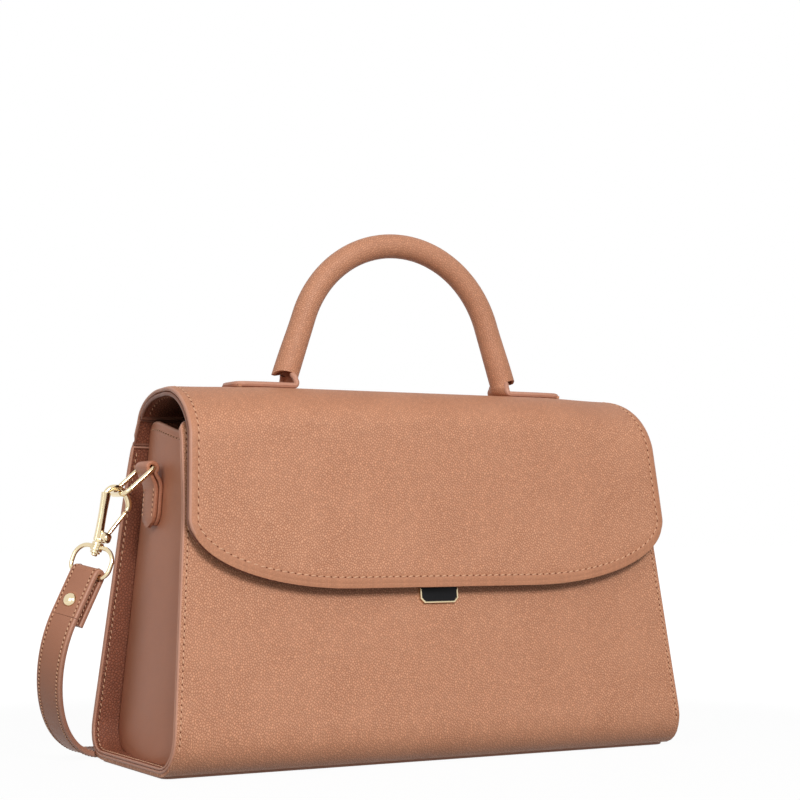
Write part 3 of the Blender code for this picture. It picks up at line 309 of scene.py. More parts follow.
class Finish:
    """A material made of named nodes."""

    def __init__(self, name, **fixed):
        self.material = bpy.data.materials.new(name)
        self.material.use_nodes = True
        self.tree = self.material.node_tree
        self.shader = self.tree.nodes["Principled BSDF"]
        for socket, value in fixed.items():
            value = (*value, 1) if isinstance(value, tuple) else value
            self.shader.inputs[socket.replace("_", " ").title().replace("Ior", "IOR")].default_value = value

    def node(self, kind, settings, sockets, output=0):
        """Adds a node: its settings are set first, then its sockets take values or links."""
        made = self.tree.nodes.new("ShaderNode" + kind)
        for name, value in settings.items():
            setattr(made, name, value)
        for name, value in sockets.items():
            self.feed(made.inputs[name], value)
        return Channel(self, made.outputs[output])

    def feed(self, socket, value):
        if isinstance(value, Channel):
            self.tree.links.new(value.socket, socket)
        elif isinstance(value, tuple) and socket.type == "RGBA":
            socket.default_value = (*value, 1)
        else:
            socket.default_value = value

    def mix(self, share, first, second):
        """A colour between two, by a share."""
        return self.node("Mix", {"data_type": "RGBA"}, {0: share, 6: first, 7: second}, 2)

    def cut_map(self, stretch=(1, 1, 1), turn=0):
        """Where a point lies on the flat cut of its leather, in metres."""
        flat = self.node("UVMap", {"uv_map": "cut"}, {})
        turned = self.node("Mapping", {}, {"Vector": flat, "Rotation": (0, 0, turn)})
        return self.node("Mapping", {}, {"Vector": turned, "Scale": stretch})

    def place(self):
        """Where a point lies in the object's own frame, in metres."""
        return self.node("TexCoord", {}, {}, 3)

    def noise(self, where, size, detail, rough=0.5, output=0):
        sockets = {"Vector": where, "Scale": 1 / size, "Detail": detail, "Roughness": rough}
        return self.node("TexNoise", {}, sockets, output)

    def warped(self, where, size, reach):
        """Coordinates pushed about by a soft noise."""
        drift = self.noise(where, size, 1.0, output=1)
        centred = self.node("VectorMath", {"operation": "SUBTRACT"}, {0: drift, 1: (0.5, 0.5, 0.5)})
        small = self.node("VectorMath", {"operation": "SCALE"}, {0: centred, "Scale": reach})
        return self.node("VectorMath", {"operation": "ADD"}, {0: where, 1: small})

    def cells(self, where, size, feature="DISTANCE_TO_EDGE", output=0):
        return self.node("TexVoronoi", {"voronoi_dimensions": "2D", "feature": feature},
                         {"Vector": where, "Scale": 1 / size, "Randomness": 0.9}, output)

    def bump(self, height, depth):
        """Feeds the shader's normal from a height that stands for a real depth."""
        bent = self.node("Bump", {}, {"Strength": 1.0, "Distance": depth, "Height": height})
        self.feed(self.shader.inputs["Normal"], bent)

    def colour(self, value):
        self.feed(self.shader.inputs["Base Color"], value)

    def roughness(self, value):
        self.feed(self.shader.inputs["Roughness"], value)


def pebbled_leather(name, light, dark, pebble=1.2 * MM, depth=0.12 * MM, stretch=(1, 1, 1), turn=0.5):
    """Tumbled leather: rounded pebbles with darker valleys, calmer where it is pulled over a bend."""
    made = Finish(name, specular_ior_level=0.38)
    flat = made.cut_map(stretch, turn)
    where = made.warped(made.warped(flat, 6 * pebble, 0.8 * pebble), 1.5 * pebble, 0.35 * pebble)
    grain = made.node("Attribute", {"attribute_name": "grain"}, {}, 2)
    edge = made.cells(where, pebble)
    tone = made.cells(where, pebble, "F1", 1)
    round_top = edge.stepped(0.0, 0.38)
    creases = made.cells(made.warped(flat, pebble, 0.4 * pebble), 0.52 * pebble).stepped(0.0, 0.3)
    height = (round_top * 0.82 + creases * 0.18) * (grain * 0.85 + 0.15)
    patches = made.noise(flat, 28 * MM, 3.0).stepped(0.3, 0.75)
    cloud = made.noise(flat, 5 * MM, 2.0)
    shown = (height * (0.78 + 0.34 * cloud) + (1 - grain) * 0.22).clamped()
    face = made.mix(shown, dark, light)
    tone = made.node("SeparateColor", {}, {0: tone}) * 0.16 + 0.92
    single = made.node("HueSaturation", {}, {"Value": tone, "Color": face})
    worn = tuple(min(1.0, channel * 1.12 + 0.01) for channel in light)
    made.colour(made.mix(patches * 0.12, single, worn))
    made.roughness(0.60 - 0.16 * height + 0.05 * cloud)
    made.bump(height, depth)
    return made.material


def smooth_leather(name, light, dark, pore=0.55 * MM, depth=0.03 * MM):
    """Flat calf: fine pores, soft creases and slow changes of tone."""
    made = Finish(name, specular_ior_level=0.4)
    flat = made.cut_map()
    where = made.warped(flat, 3 * pore, pore)
    pores = made.cells(where, pore).stepped(0.0, 0.3)
    creases = made.noise(made.cut_map((0.45, 1, 1), 0.3), 3.5 * MM, 4.0, 0.6)
    tone = made.noise(flat, 22 * MM, 3.0)
    shown = (pores * 0.35 + creases * 0.45 + tone * 0.5 - 0.15).clamped()
    made.colour(made.mix(shown, dark, light))
    made.roughness(0.46 + 0.1 * creases - 0.05 * pores)
    made.bump(pores * 0.5 + creases * 0.8, depth)
    return made.material


def edge_paint(name, light, dark):
    """Painted and burnished edge of cut leather, a little uneven along its length."""
    made = Finish(name, specular_ior_level=0.4)
    where = made.place()
    uneven = made.noise(where, 2.4 * MM, 3.0)
    long_tone = made.noise(where, 18 * MM, 2.0)
    made.colour(made.mix((uneven * 0.5 + long_tone * 0.7 - 0.1).clamped(), dark, light))
    made.roughness(0.42 + 0.16 * uneven)
    made.bump(uneven, 0.06 * MM)
    return made.material


def thread(name, light, dark):
    """Waxed sewing thread with its twist."""
    made = Finish(name, specular_ior_level=0.35)
    where = made.place()
    strands = made.node("TexWave", {"wave_type": "BANDS", "bands_direction": "DIAGONAL"},
                        {"Vector": where, "Scale": 1 / (1.1 * MM), "Distortion": 1.5})
    tone = made.noise(where, 3 * MM, 2.0)
    made.colour(made.mix((strands * 0.4 + tone * 0.6).clamped(), dark, light))
    made.roughness(0.5 + 0.15 * tone)
    made.bump(strands, 0.05 * MM)
    return made.material


def needle_hole_shade(name, dark):
    """Painted shade of the pit where the thread goes down: a dark flat disc."""
    made = Finish(name, specular_ior_level=0.1)
    tone = made.noise(made.place(), 0.8 * MM, 1.0)
    made.colour(made.mix(tone, dark, tuple(channel * 1.8 for channel in dark)))
    made.roughness(0.8 + 0.1 * tone)
    made.bump(tone, 0.05 * MM)
    return made.material


def plated_metal(name, light, dark, rough=0.09):
    """Polished plating with faint hairlines and slow waves."""
    made = Finish(name, metallic=1.0)
    where = made.place()
    drawn = made.node("Mapping", {}, {"Vector": where, "Scale": (1, 1, 0.08)})
    hairlines = made.noise(drawn, 0.35 * MM, 2.0)
    waves = made.noise(where, 4 * MM, 2.0)
    made.colour(made.mix(waves, dark, light))
    made.roughness(rough + 0.07 * hairlines * waves)
    made.bump(waves * 0.7 + hairlines * 0.04, 0.04 * MM)
    return made.material


def enamel(name, dark):
    """Black enamel under a clear top, with a trace of orange peel."""
    made = Finish(name, coat_weight=0.05, coat_roughness=0.1, specular_ior_level=0.12)
    where = made.place()
    peel = made.noise(where, 1.6 * MM, 2.0)
    dust = made.noise(where, 0.3 * MM, 1.0).stepped(0.68, 0.8)
    made.colour(made.mix(dust, dark, tuple(channel * 4 for channel in dark)))
    made.roughness(0.3 + 0.12 * peel)
    made.bump(peel, 0.01 * MM)
    return made.material


def woven_lining(name, light, dark):
    """Plain woven lining."""
    yarn = 0.45 * MM
    made = Finish(name, specular_ior_level=0.25)
    flat = made.cut_map()
    bands = {}
    for way in ("X", "Y"):
        bands[way] = made.node("TexWave", {"wave_type": "BANDS", "bands_direction": way},
                               {"Vector": flat, "Scale": pi / (10 * yarn), "Distortion": 0.4})
    weave = bands["X"] * bands["Y"] + 0.5 * (1 - bands["X"]) * (1 - bands["Y"])
    slub = made.noise(flat, 7 * MM, 3.0)
    made.colour(made.mix((weave * 0.7 + slub * 0.4).clamped(), dark, light))
    made.roughness(0.75 + 0.15 * slub)
    made.bump(weave, 0.12 * MM)
    return made.material


def fibre_board(name, light, dark):
    """Pressed fibre board."""
    made = Finish(name, specular_ior_level=0.2)
    where = made.place()
    drawn = made.node("Mapping", {}, {"Vector": where, "Scale": (0.3, 1, 1)})
    fibres = made.noise(drawn, 0.8 * MM, 4.0, 0.7)
    made.colour(made.mix(fibres, dark, light))
    made.roughness(0.8 + 0.1 * fibres)
    made.bump(fibres, 0.08 * MM)
    return made.material


def twisted_rope(name, light, dark):
    """Cotton piping cord."""
    made = Finish(name, specular_ior_level=0.2)
    where = made.place()
    lay = made.node("TexWave", {"wave_type": "BANDS", "bands_direction": "DIAGONAL"},
                    {"Vector": where, "Scale": 1 / (9 * MM), "Distortion": 1.0})
    fuzz = made.noise(where, 0.5 * MM, 3.0)
    made.colour(made.mix((lay * 0.7 + fuzz * 0.3).clamped(), dark, light))
    made.roughness(0.85 + 0.1 * fuzz)
    made.bump(lay + fuzz * 0.2, 0.3 * MM)
    return made.material


GRAINED = pebbled_leather("grained_leather", (0.68, 0.340, 0.202), (0.36, 0.138, 0.066),
                          stretch=(0.82, 1.18, 1), turn=0.9)
ROLLED = pebbled_leather("handle_leather", (0.63, 0.305, 0.178), (0.38, 0.155, 0.080),
                         pebble=1.0 * MM, depth=0.09 * MM, stretch=(0.75, 1.25, 1), turn=0)
WING = pebbled_leather("facing_leather", (0.37, 0.128, 0.069), (0.165, 0.050, 0.026),
                       pebble=1.5 * MM, depth=0.17 * MM)
SMOOTH = smooth_leather("smooth_leather", (0.54, 0.222, 0.126), (0.41, 0.158, 0.086))
STRAP_FACE_LEATHER = smooth_leather("strap_leather", (0.41, 0.176, 0.101), (0.31, 0.124, 0.069),
                                    pore=0.7 * MM, depth=0.05 * MM)
EDGE = edge_paint("edge_paint", (0.56, 0.29, 0.20), (0.42, 0.19, 0.12))
DARK_EDGE = edge_paint("dark_edge_paint", (0.27, 0.112, 0.068), (0.18, 0.066, 0.038))
THREAD_FINISH = thread("peach_thread", (0.80, 0.50, 0.33), (0.62, 0.33, 0.19))
# Needle holes: painted shade, a flat dark disc where the thread goes down
HOLE_SHADE = needle_hole_shade("needle_hole_shade", (0.11, 0.035, 0.018))
GOLD = plated_metal("pale_gold", (0.85, 0.72, 0.48), (0.74, 0.60, 0.38))
ENAMEL = enamel("black_enamel", (0.006, 0.006, 0.007))
TEXTILE = woven_lining("lining_textile", (0.14, 0.075, 0.05), (0.05, 0.025, 0.017))
BOARD = fibre_board("board", (0.30, 0.23, 0.16), (0.19, 0.14, 0.09))
STEEL = plated_metal("steel", (0.62, 0.62, 0.63), (0.52, 0.52, 0.54), 0.22)
ROPE = twisted_rope("handle_core", (0.68, 0.60, 0.47), (0.42, 0.36, 0.26))


def shape_of(work, finish):
    """A small shape's points and faces, ready to be stamped."""
    work.verts.index_update()
    points = [vert.co.copy() for vert in work.verts]
    faces = [[vert.index for vert in face.verts] for face in work.faces]
    work.free()
    return points, faces, finish


def stitch_shape(step):
    """One stitch along X, thick in the middle and dipping at its ends."""
    work = bmesh.new()
    flat = Matrix.Rotation(pi / 2, 4, "Y") @ Matrix.Diagonal((THREAD * 0.85, THREAD, step * 0.34, 1))
    bmesh.ops.create_uvsphere(work, u_segments=6, v_segments=4, radius=1, matrix=flat)
    return shape_of(work, THREAD_FINISH)


def hole_shape():
    """A flat dark disc between two stitches: painted shade of the needle hole."""
    work = bmesh.new()
    bmesh.ops.create_circle(work, cap_ends=True, segments=8, radius=THREAD * 1.3)
    bmesh.ops.scale(work, verts=work.verts, vec=(1.25, 0.9, 1))
    return shape_of(work, HOLE_SHADE)


class Work:
    """A piece in the making: one mesh, its finishes, its flat cut and how strongly the grain shows."""

    def __init__(self):
        self.mesh = bmesh.new()
        self.cut = self.mesh.loops.layers.uv.new("cut")
        self.grain = self.mesh.verts.layers.float.new("grain")
        self.finishes = []

    def number(self, finish):
        if finish not in self.finishes:
            self.finishes.append(finish)
        return self.finishes.index(finish)

    def paint(self, faces, finish, grain=1.0):
        """Gives faces a finish, and their points a strength of grain."""
        number = self.number(finish)
        for face in faces:
            face.material_index = number
            for vert in face.verts:
                vert[self.grain] = grain

    def grid(self, columns, rows, place, finish, seam=False):
        """A sheet of quads. Place gives a point, its spot on the flat cut and, if need be, its grain."""
        verts = bmesh.ops.create_grid(self.mesh, x_segments=columns, y_segments=rows, size=1)["verts"]
        spots = {}
        for vert in verts:
            column, row = round((vert.co.x + 1) / 2 * columns), round((vert.co.y + 1) / 2 * rows)
            point, spot, grain = place(column, row)
            vert.co = point
            vert[self.grain] = grain
            spots[vert] = spot
        faces = list({face for vert in verts for face in vert.link_faces})
        number = self.number(finish)
        for face in faces:
            face.material_index = number
            for loop in face.loops:
                loop[self.cut].uv = spots[loop.vert]
        if seam:
            bmesh.ops.remove_doubles(self.mesh, verts=verts, dist=GROOVE / 1000)
        return faces

    def thicken(self, faces, thickness):
        """Gives open faces a wall on their inner side."""
        made = bmesh.ops.solidify(self.mesh, geom=faces, thickness=thickness)["geom"]
        shell = list({item for item in made if isinstance(item, bmesh.types.BMFace)} | set(faces))
        bmesh.ops.recalc_face_normals(self.mesh, faces=shell)
        return shell

    def tube(self, points, ups, radius, finish, sides=10, closed=False):
        """A round tube along points, each with a direction square to the run."""
        count = len(points)
        lengths = running(points + points[:1] if closed else points)

        def place(column, row):
            i = row % count
            ahead = points[(i + 1) % count] if closed else points[min(count - 1, i + 1)]
            run = (ahead - (points[i - 1] if closed else points[max(0, i - 1)])).normalized()
            first = (ups[i] - run * ups[i].dot(run)).normalized()
            second = run.cross(first)
            size = radius[i] if isinstance(radius, list) else radius
            angle = 2 * pi * (column % sides) / sides
            point = points[i] + (first * cos(angle) + second * sin(angle)) * size
            return point, (2 * pi * size * column / sides, lengths[row]), 0.0
        faces = self.grid(sides, len(lengths) - 1, place, finish, seam=True)
        if not closed:
            self.close(faces, finish)
        return faces

    def close(self, faces, finish):
        """Caps the open ends of faces."""
        edges = {edge for face in faces for edge in face.edges}
        rims = [edge for edge in edges if len(edge.link_faces) == 1]
        self.paint(bmesh.ops.holes_fill(self.mesh, edges=rims, sides=0)["faces"], finish, 0.0)

    def band(self, stations, outline, finish):
        """An outline in width and thickness swept through stations: a centre, a width way, a face way."""
        lengths = running([centre for centre, _, _ in stations])
        around = running_round(outline)

        def place(column, row):
            centre, width, face = stations[row]
            across, up = outline[column % len(outline)]
            return centre + width * across + face * up, (around[column], lengths[row]), 0.0
        faces = self.grid(len(outline), len(stations) - 1, place, finish, seam=True)
        self.close(faces, finish)
        return faces

    def turned(self, profile, matrix, finish, steps=40):
        """A profile of radius and height turned about the matrix's Z axis."""
        verts = [self.mesh.verts.new((radius, 0, height)) for radius, height in profile]
        edges = [self.mesh.edges.new(pair) for pair in zip(verts, verts[1:])]
        before = set(self.mesh.faces)
        bmesh.ops.spin(self.mesh, geom=verts + edges, cent=(0, 0, 0), axis=(0, 0, 1), angle=2 * pi,
                       steps=steps, use_merge=True)
        faces = [face for face in self.mesh.faces if face not in before]
        return self.settle(faces, matrix, finish)

    def settle(self, faces, matrix, finish):
        """Merges, turns outwards and places new faces."""
        verts = list({vert for face in faces for vert in face.verts})
        bmesh.ops.remove_doubles(self.mesh, verts=verts, dist=GROOVE / 100)
        faces = [face for face in faces if face.is_valid]
        bmesh.ops.recalc_face_normals(self.mesh, faces=faces)
        verts = list({vert for face in faces for vert in face.verts})
        bmesh.ops.transform(self.mesh, matrix=matrix, verts=verts)
        self.paint(faces, finish, 0.0)
        return faces

    def prism(self, outline, depth, matrix, finish, bevel=0.0, segments=3):
        """A flat outline with a thickness about its plane and softened edges."""
        before = set(self.mesh.faces)
        verts = [self.mesh.verts.new((x, y, -depth / 2)) for x, y in outline]
        base = self.mesh.faces.new(verts)
        made = bmesh.ops.extrude_face_region(self.mesh, geom=[base], use_keep_orig=True)["geom"]
        top = [item for item in made if isinstance(item, bmesh.types.BMVert)]
        bmesh.ops.translate(self.mesh, verts=top, vec=(0, 0, depth))
        faces = [face for face in self.mesh.faces if face not in before]
        if bevel:
            flat = [edge for edge in {edge for face in faces for edge in face.edges}
                    if abs(edge.verts[0].co.z - edge.verts[1].co.z) < depth / 2]
            bmesh.ops.bevel(self.mesh, geom=flat, offset=bevel, segments=segments, profile=0.5,
                            affect="EDGES", material=-1)
            faces = [face for face in self.mesh.faces if face not in before]
        return self.settle(faces, matrix, finish)

    def stamp(self, shape, matrix):
        """Copies a small ready shape into the piece."""
        points, faces, finish = shape
        verts = [self.mesh.verts.new(matrix @ point) for point in points]
        number = self.number(finish)
        for corners in faces:
            self.mesh.faces.new([verts[corner] for corner in corners]).material_index = number

    def stitches(self, points, ups, pitch):
        """Thread lying along a line of points, going down through a hole between stitches."""
        lengths = running(points)
        count = max(1, round(lengths[-1] / pitch))
        step = lengths[-1] / count
        stitch, hole = stitch_shape(step), hole_shape()
        for i in range(count):
            middle = (i + 0.5) * step
            at = min(len(points) - 2, bisect_right(lengths, middle) - 1)
            share = (middle - lengths[at]) / max(1e-9, lengths[at + 1] - lengths[at])
            up = ups[at].lerp(ups[at + 1], share).normalized()
            run = points[at + 1] - points[at]
            run = (run - up * run.dot(up)).normalized()
            tilted = run * cos(STITCH_SLANT) + up.cross(run) * sin(STITCH_SLANT)
            centre = points[at].lerp(points[at + 1], share) + up * STITCH_LIFT
            self.stamp(stitch, axes(centre, tilted, up.cross(tilted), up))
            if i < count - 1:
                pit = centre - up * (STITCH_LIFT * 0.2) + run * (step / 2)
                self.stamp(hole, axes(pit, tilted, up.cross(tilted), up))

    def done(self, name, body, replaces, slot, sharp=38):
        """Makes the object, smooth but for its real edges, and lets it ride."""
        mesh = bpy.data.meshes.new(name)
        self.mesh.to_mesh(mesh)
        self.mesh.free()
        return link(name, mesh, self.finishes, body, replaces, sharp)


def link(name, mesh, finishes, body, replaces, sharp=38):
    """Makes an object of a mesh, and says what it rides on, replaces and is made of."""
    for finish in finishes:
        mesh.materials.append(finish)
    mesh.shade_smooth()
    mesh.set_sharp_from_angle(angle=radians(sharp))
    made = bpy.data.objects.new(name, mesh)
    bpy.context.scene.collection.objects.link(made)
    if body:
        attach(made, body)
    if replaces:
        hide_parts(*replaces)
    return made


def twin(made, body, replaces):
    """The same piece on the right side of the bag."""
    work = bmesh.new()
    work.from_mesh(made.data)
    bmesh.ops.scale(work, verts=work.verts, vec=(-1, 1, 1))
    bmesh.ops.reverse_faces(work, faces=work.faces)
    name = made.name.replace("_left", "_right")
    mesh = bpy.data.meshes.new(name)
    work.to_mesh(mesh)
    work.free()
    return link(name, mesh, list(made.data.materials), body, replaces)


def both_sides(work, name, body, node, slot, sharp=38):
    """The piece of the left side, and its mirror image on the right.

    A body is one that both sides share, the stem of each side's own body, or None for a piece that rides on
    no body.
    """
    shared = body in (None, "bag")
    left = work.done(f"{name}_left", body if shared else f"{body}_left", (f"{node}_left",), slot, sharp)
    return left, twin(left, body if shared else f"{body}_right", (f"{node}_right",))


class Line:
    """A profile in the YZ plane, with its length and its outer side."""

    def __init__(self, points):
        self.points = [Vector(point) for point in points]
        self.lengths = running(self.points)
        self.length = self.lengths[-1]
        self.outs = []
        for i in range(len(self.points)):
            run = self.points[min(len(self.points) - 1, i + 1)] - self.points[max(0, i - 1)]
            self.outs.append(Vector((run.y, -run.x)).normalized())

    def spot(self, s):
        """The step of the line that holds a length, and the share of it."""
        i = max(0, min(len(self.points) - 2, bisect_right(self.lengths, s) - 1))
        return i, (s - self.lengths[i]) / (self.lengths[i + 1] - self.lengths[i])

    def pick(self, i, share):
        point = self.points[i] + (self.points[i + 1] - self.points[i]) * share
        out = self.outs[i].lerp(self.outs[i + 1], min(1.0, max(0.0, share))).normalized()
        return point, out

    def at(self, s):
        """The point and the outer side at a length along the line."""
        return self.pick(*self.spot(s))

    def place(self, x, s, depth=0.0):
        point, out = self.at(s)
        return Vector((x, point.x - out.x * depth, point.y - out.y * depth))

    def out(self, s):
        _, out = self.at(s)
        return Vector((0, out.x, out.y))


def rounded_box(width, height, radius, steps=6, top_radius=None):
    """Outline of a rounded rectangle about its centre."""
    points = []
    for x, y, start in ((1, 1, 0), (-1, 1, 90), (-1, -1, 180), (1, -1, 270)):
        corner = top_radius if top_radius and y > 0 else radius
        for i in range(steps + 1):
            angle = radians(start + 90 * i / steps)
            points.append((x * (width / 2 - corner) + corner * cos(angle),
                           y * (height / 2 - corner) + corner * sin(angle)))
    return points


def heading(points, i):
    """The way that a path runs at one of its points."""
    return (points[min(len(points) - 1, i + 1)] - points[max(0, i - 1)]).normalized()


def running(points):
    """Lengths along a path, from 0 at its first point."""
    lengths = [0.0]
    for a, b in zip(points, points[1:]):
        lengths.append(lengths[-1] + (b - a).length)
    return lengths


def running_round(outline):
    """Lengths round a closed outline."""
    lengths = [0.0]
    for a, b in zip(outline, outline[1:] + outline[:1]):
        lengths.append(lengths[-1] + hypot(b[0] - a[0], b[1] - a[1]))
    return lengths


def axes(origin, across, up, out):
    """A frame at an origin, with its X, Y and Z ways."""
    matrix = Matrix((across, up, out)).transposed().to_4x4()
    matrix.translation = origin
    return matrix


def ease(share):
    """A smooth step from 0 to 1."""
    share = min(1.0, max(0.0, share))
    return share * share * (3 - 2 * share)


# Body wrap
def half_width(height, back):
    """Half width of the wrap at a height, by its share from the front to the back."""
    lean = SIDE_LEAN + (BACK_SIDE_LEAN - SIDE_LEAN) * back
    return HALF_WIDTH - lean * height + (1 - back) * FRONT_FLARE * ease((height - FLARE_FROM) / FLARE_OVER)


def wall_out(height, foot, lean, bend_from, bend, top):
    """How far a wall stands out at a height."""
    over = max(0.0, height - bend_from) / (top - bend_from)
    return foot - lean * height - bend * over ** 2


FRONT = (FRONT_FOOT, FRONT_LEAN, FRONT_BEND_FROM, FRONT_BEND, FRONT_HEIGHT)
BACK = (BACK_FOOT, BACK_LEAN, BACK_BEND_FROM, BACK_BEND, BACK_HEIGHT)


def wrap_profile():
    """The outside of the wrap: down the front, under the base and up the back."""
    rise = WRAP_BASE + BASE_CORNER
    points = []
    for i in range(PROFILE_STEPS):
        height = FRONT_HEIGHT + (rise - FRONT_HEIGHT) * i / PROFILE_STEPS
        points.append((-wall_out(height, *FRONT), height))
    for way, (foot, lean, *_) in ((-1, FRONT), (1, BACK)):
        centre = foot - lean * rise - BASE_CORNER * hypot(1, lean)
        start = atan(lean)
        arc = []
        for i in range(CORNER_STEPS + 1):
            angle = start - (pi / 2 + start) * i / CORNER_STEPS
            arc.append((way * (centre + BASE_CORNER * cos(angle)), rise + BASE_CORNER * sin(angle)))
        points += arc if way < 0 else arc[::-1]
    for i in range(1, PROFILE_STEPS + 1):
        height = rise + (BACK_HEIGHT - rise) * i / PROFILE_STEPS
        points.append((wall_out(height, *BACK), height))
    return Line(points)


WRAP = wrap_profile()


def wrap_half(s):
    """Half width of the wrap, drawn in at the rounded top corners of the front."""
    point, _ = WRAP.at(s)
    drop = 0.0
    if s < FRONT_TOP_CORNER:
        drop = FRONT_TOP_CORNER - sqrt(max(0.0, FRONT_TOP_CORNER ** 2 - (FRONT_TOP_CORNER - s) ** 2))
    return half_width(point.y, ease(0.5 + point.x / DEPTH_BLEND)) - drop


def spread(low, high, step):
    """Even values from low to high, no further apart than a step."""
    count = max(1, ceil((high - low) / step))
    return [low + (high - low) * i / count for i in range(count + 1)]


def up_the_back(height):
    """Length along the wrap at which its back reaches a height."""
    i = next(i for i, point in enumerate(WRAP.points) if point.x > 0 and point.y >= height - GROOVE / 10)
    return WRAP.lengths[i] - (WRAP.points[i].y - height)


def wrap_stops(high):
    """Rows from the front's top along the wrap, closer at the top corners."""
    near = [FRONT_TOP_CORNER * (1 - cos(radians(15 * i))) for i in range(6)]
    return near + spread(FRONT_TOP_CORNER, high, WRAP_STEP)


def wrap_edge(stops, inset, depth, way):
    """Points and outer sides along one side of the wrap, set in from its edge."""
    points = [WRAP.place(way * (wrap_half(s) - inset), s, depth) for s in stops]
    return points, [WRAP.out(s) for s in stops]


def wrap_layer(name, stops, depth, thickness, finish, edge, nodes):
    """One layer of the wrap, with rounded painted edges all round."""
    radius = thickness / 2
    rows = [min(stops[-1] - radius, max(stops[0] + radius, s)) for s in stops]

    def place(column, row):
        s = rows[row]
        x = (wrap_half(s) - radius) * (1 - 2 * column / WRAP_COLUMNS)
        return WRAP.place(x, s, depth), (x, s), 1.0
    work = Work()
    work.thicken(work.grid(WRAP_COLUMNS, len(rows) - 1, place, finish), thickness)
    points, ups = wrap_edge(rows, radius, depth + radius, 1)
    others, other_ups = wrap_edge(rows, radius, depth + radius, -1)
    work.tube(points + others[::-1], ups + other_ups[::-1], radius, edge, closed=True)
    work.done(name, "bag", nodes, "grained_leather")


def body_wrap():
    """The wrap in one length, its facing, the binding over the back's top and the seams."""
    facing_end = up_the_back(FACING_TO)
    wrap_layer("body_wrap", wrap_stops(up_the_back(COVER_FROM) - 2 * GROOVE), 0.0, LEATHER, GRAINED, EDGE,
               ("front_panel", "base_panel", "back_panel"))
    wrap_layer("wrap_facing_leather", wrap_stops(facing_end), LEATHER + GROOVE, FACING, WING, EDGE,
               ("wrap_facing",))
    binding = spread(facing_end + 2 * GROOVE, up_the_back(BACK_HEIGHT) + STRIP_RISE, BINDING_STEP)
    wrap_layer("back_top_binding", binding, FLAP_LEATHER + GROOVE, FACING, WING, DARK_EDGE,
               ("back_top_strip",))
    line = spread(4.4 * MM, facing_end - 3 * MM, 2 * MM)
    for side, way in (("left", -1), ("right", 1)):
        work = Work()
        for depth, face in ((0.0, 1), (LEATHER + GROOVE + FACING, -1)):
            points, ups = wrap_edge(line, SIDE_SEAM_IN, depth, way)
            work.stitches(points, [up * face for up in ups], SEAM_PITCH)
        work.done(f"wrap_stitching_{side}", "bag", (), "grained_leather")


# Gussets
def gusset_place(across, height):
    """A point of the left gusset's outside, by its share from front to back and its height."""
    rise = WRAP_BASE + BASE_CORNER
    ends = []
    for way, wall in ((-1, FRONT), (1, BACK)):
        foot, lean = wall[:2]
        slope = hypot(1, lean)
        if height < rise:
            centre = foot - lean * rise - BASE_CORNER * slope
            reach = centre + sqrt(max(0.0, (BASE_CORNER - LAYERS) ** 2 - (rise - height) ** 2))
        else:
            reach = wall_out(height, *wall) - LAYERS * slope
        ends.append(way * reach)
    front, back = ends
    bulge = GUSSET_BULGE * (1 - (2 * across - 1) ** 2)
    fold = GUSSET_FOLD * sin(pi * across) * sin(height / GUSSET_FOLD_LENGTH + 5 * across)
    flare = GUSSET_FLARE * across * ease((height - GUSSET_FLARE_FROM) / GUSSET_FLARE_OVER)
    x = -(GUSSET_HALF_WIDTH - GUSSET_LEAN * height + bulge + flare + fold * 0.25)
    return Vector((x, front + (back - front) * across, height))


def gusset_top(across):
    """Height of the gusset's top, which rises to the back and is rounded at its back corner."""
    rise = (1 - cos(pi * across / GUSSET_PEAK)) / 2
    corner = GUSSET_BACK_CORNER * max(0.0, (across - 0.95) / 0.05) ** 2
    return GUSSET_TOP_FRONT + (GUSSET_TOP_BACK - GUSSET_TOP_FRONT) * rise - corner


def gussets():
    """Left and right side panels with rolled edges and a sewn top."""
    floor = WRAP_BASE + LAYERS + TOUCH
    columns, rows = GUSSET_COLUMNS, GUSSET_ROWS
    radius = GUSSET / 2

    def point(across, along):
        """A point of the outside, by its shares from front to back and from floor to top."""
        top = gusset_top(across) - radius
        height = floor + (top - floor) * (1 - cos(pi * along / 2))
        return gusset_place(across, height)

    def normal(across, along):
        step = 0.01
        run = point(min(1, across + step), along) - point(max(0, across - step), along)
        rise = point(across, min(1, along + step)) - point(across, max(0, along - step))
        return rise.cross(run).normalized()

    def place(column, row):
        across, along = 1 - column / columns, row / rows
        spot = point(across, along)
        return spot, (spot.y, spot.z), 0.6
    work = Work()
    work.thicken(work.grid(columns, rows, place, SMOOTH), GUSSET)
    shares = [i / GUSSET_RIM_STEPS for i in range(GUSSET_RIM_STEPS + 1)]
    inner = [normal(share, 1) for share in shares]
    rim = [point(share, 1) - out * radius for share, out in zip(shares, inner)]
    work.tube(rim, inner, radius, EDGE)
    for share in (0.0, 1.0):
        outs = [normal(share, i / rows) for i in range(rows + 1)]
        line = [point(share, i / rows) - out * radius for i, out in enumerate(outs)]
        work.tube(line, outs, radius, SMOOTH)
    seam = [share for share in shares if 0.06 < share < 0.94]
    work.stitches([point(share, GUSSET_SEAM_AT) for share in seam],
                  [normal(share, GUSSET_SEAM_AT) for share in seam], SEAM_PITCH)
    both_sides(work, "gusset_panel", "bag", "gusset", "smooth_leather")


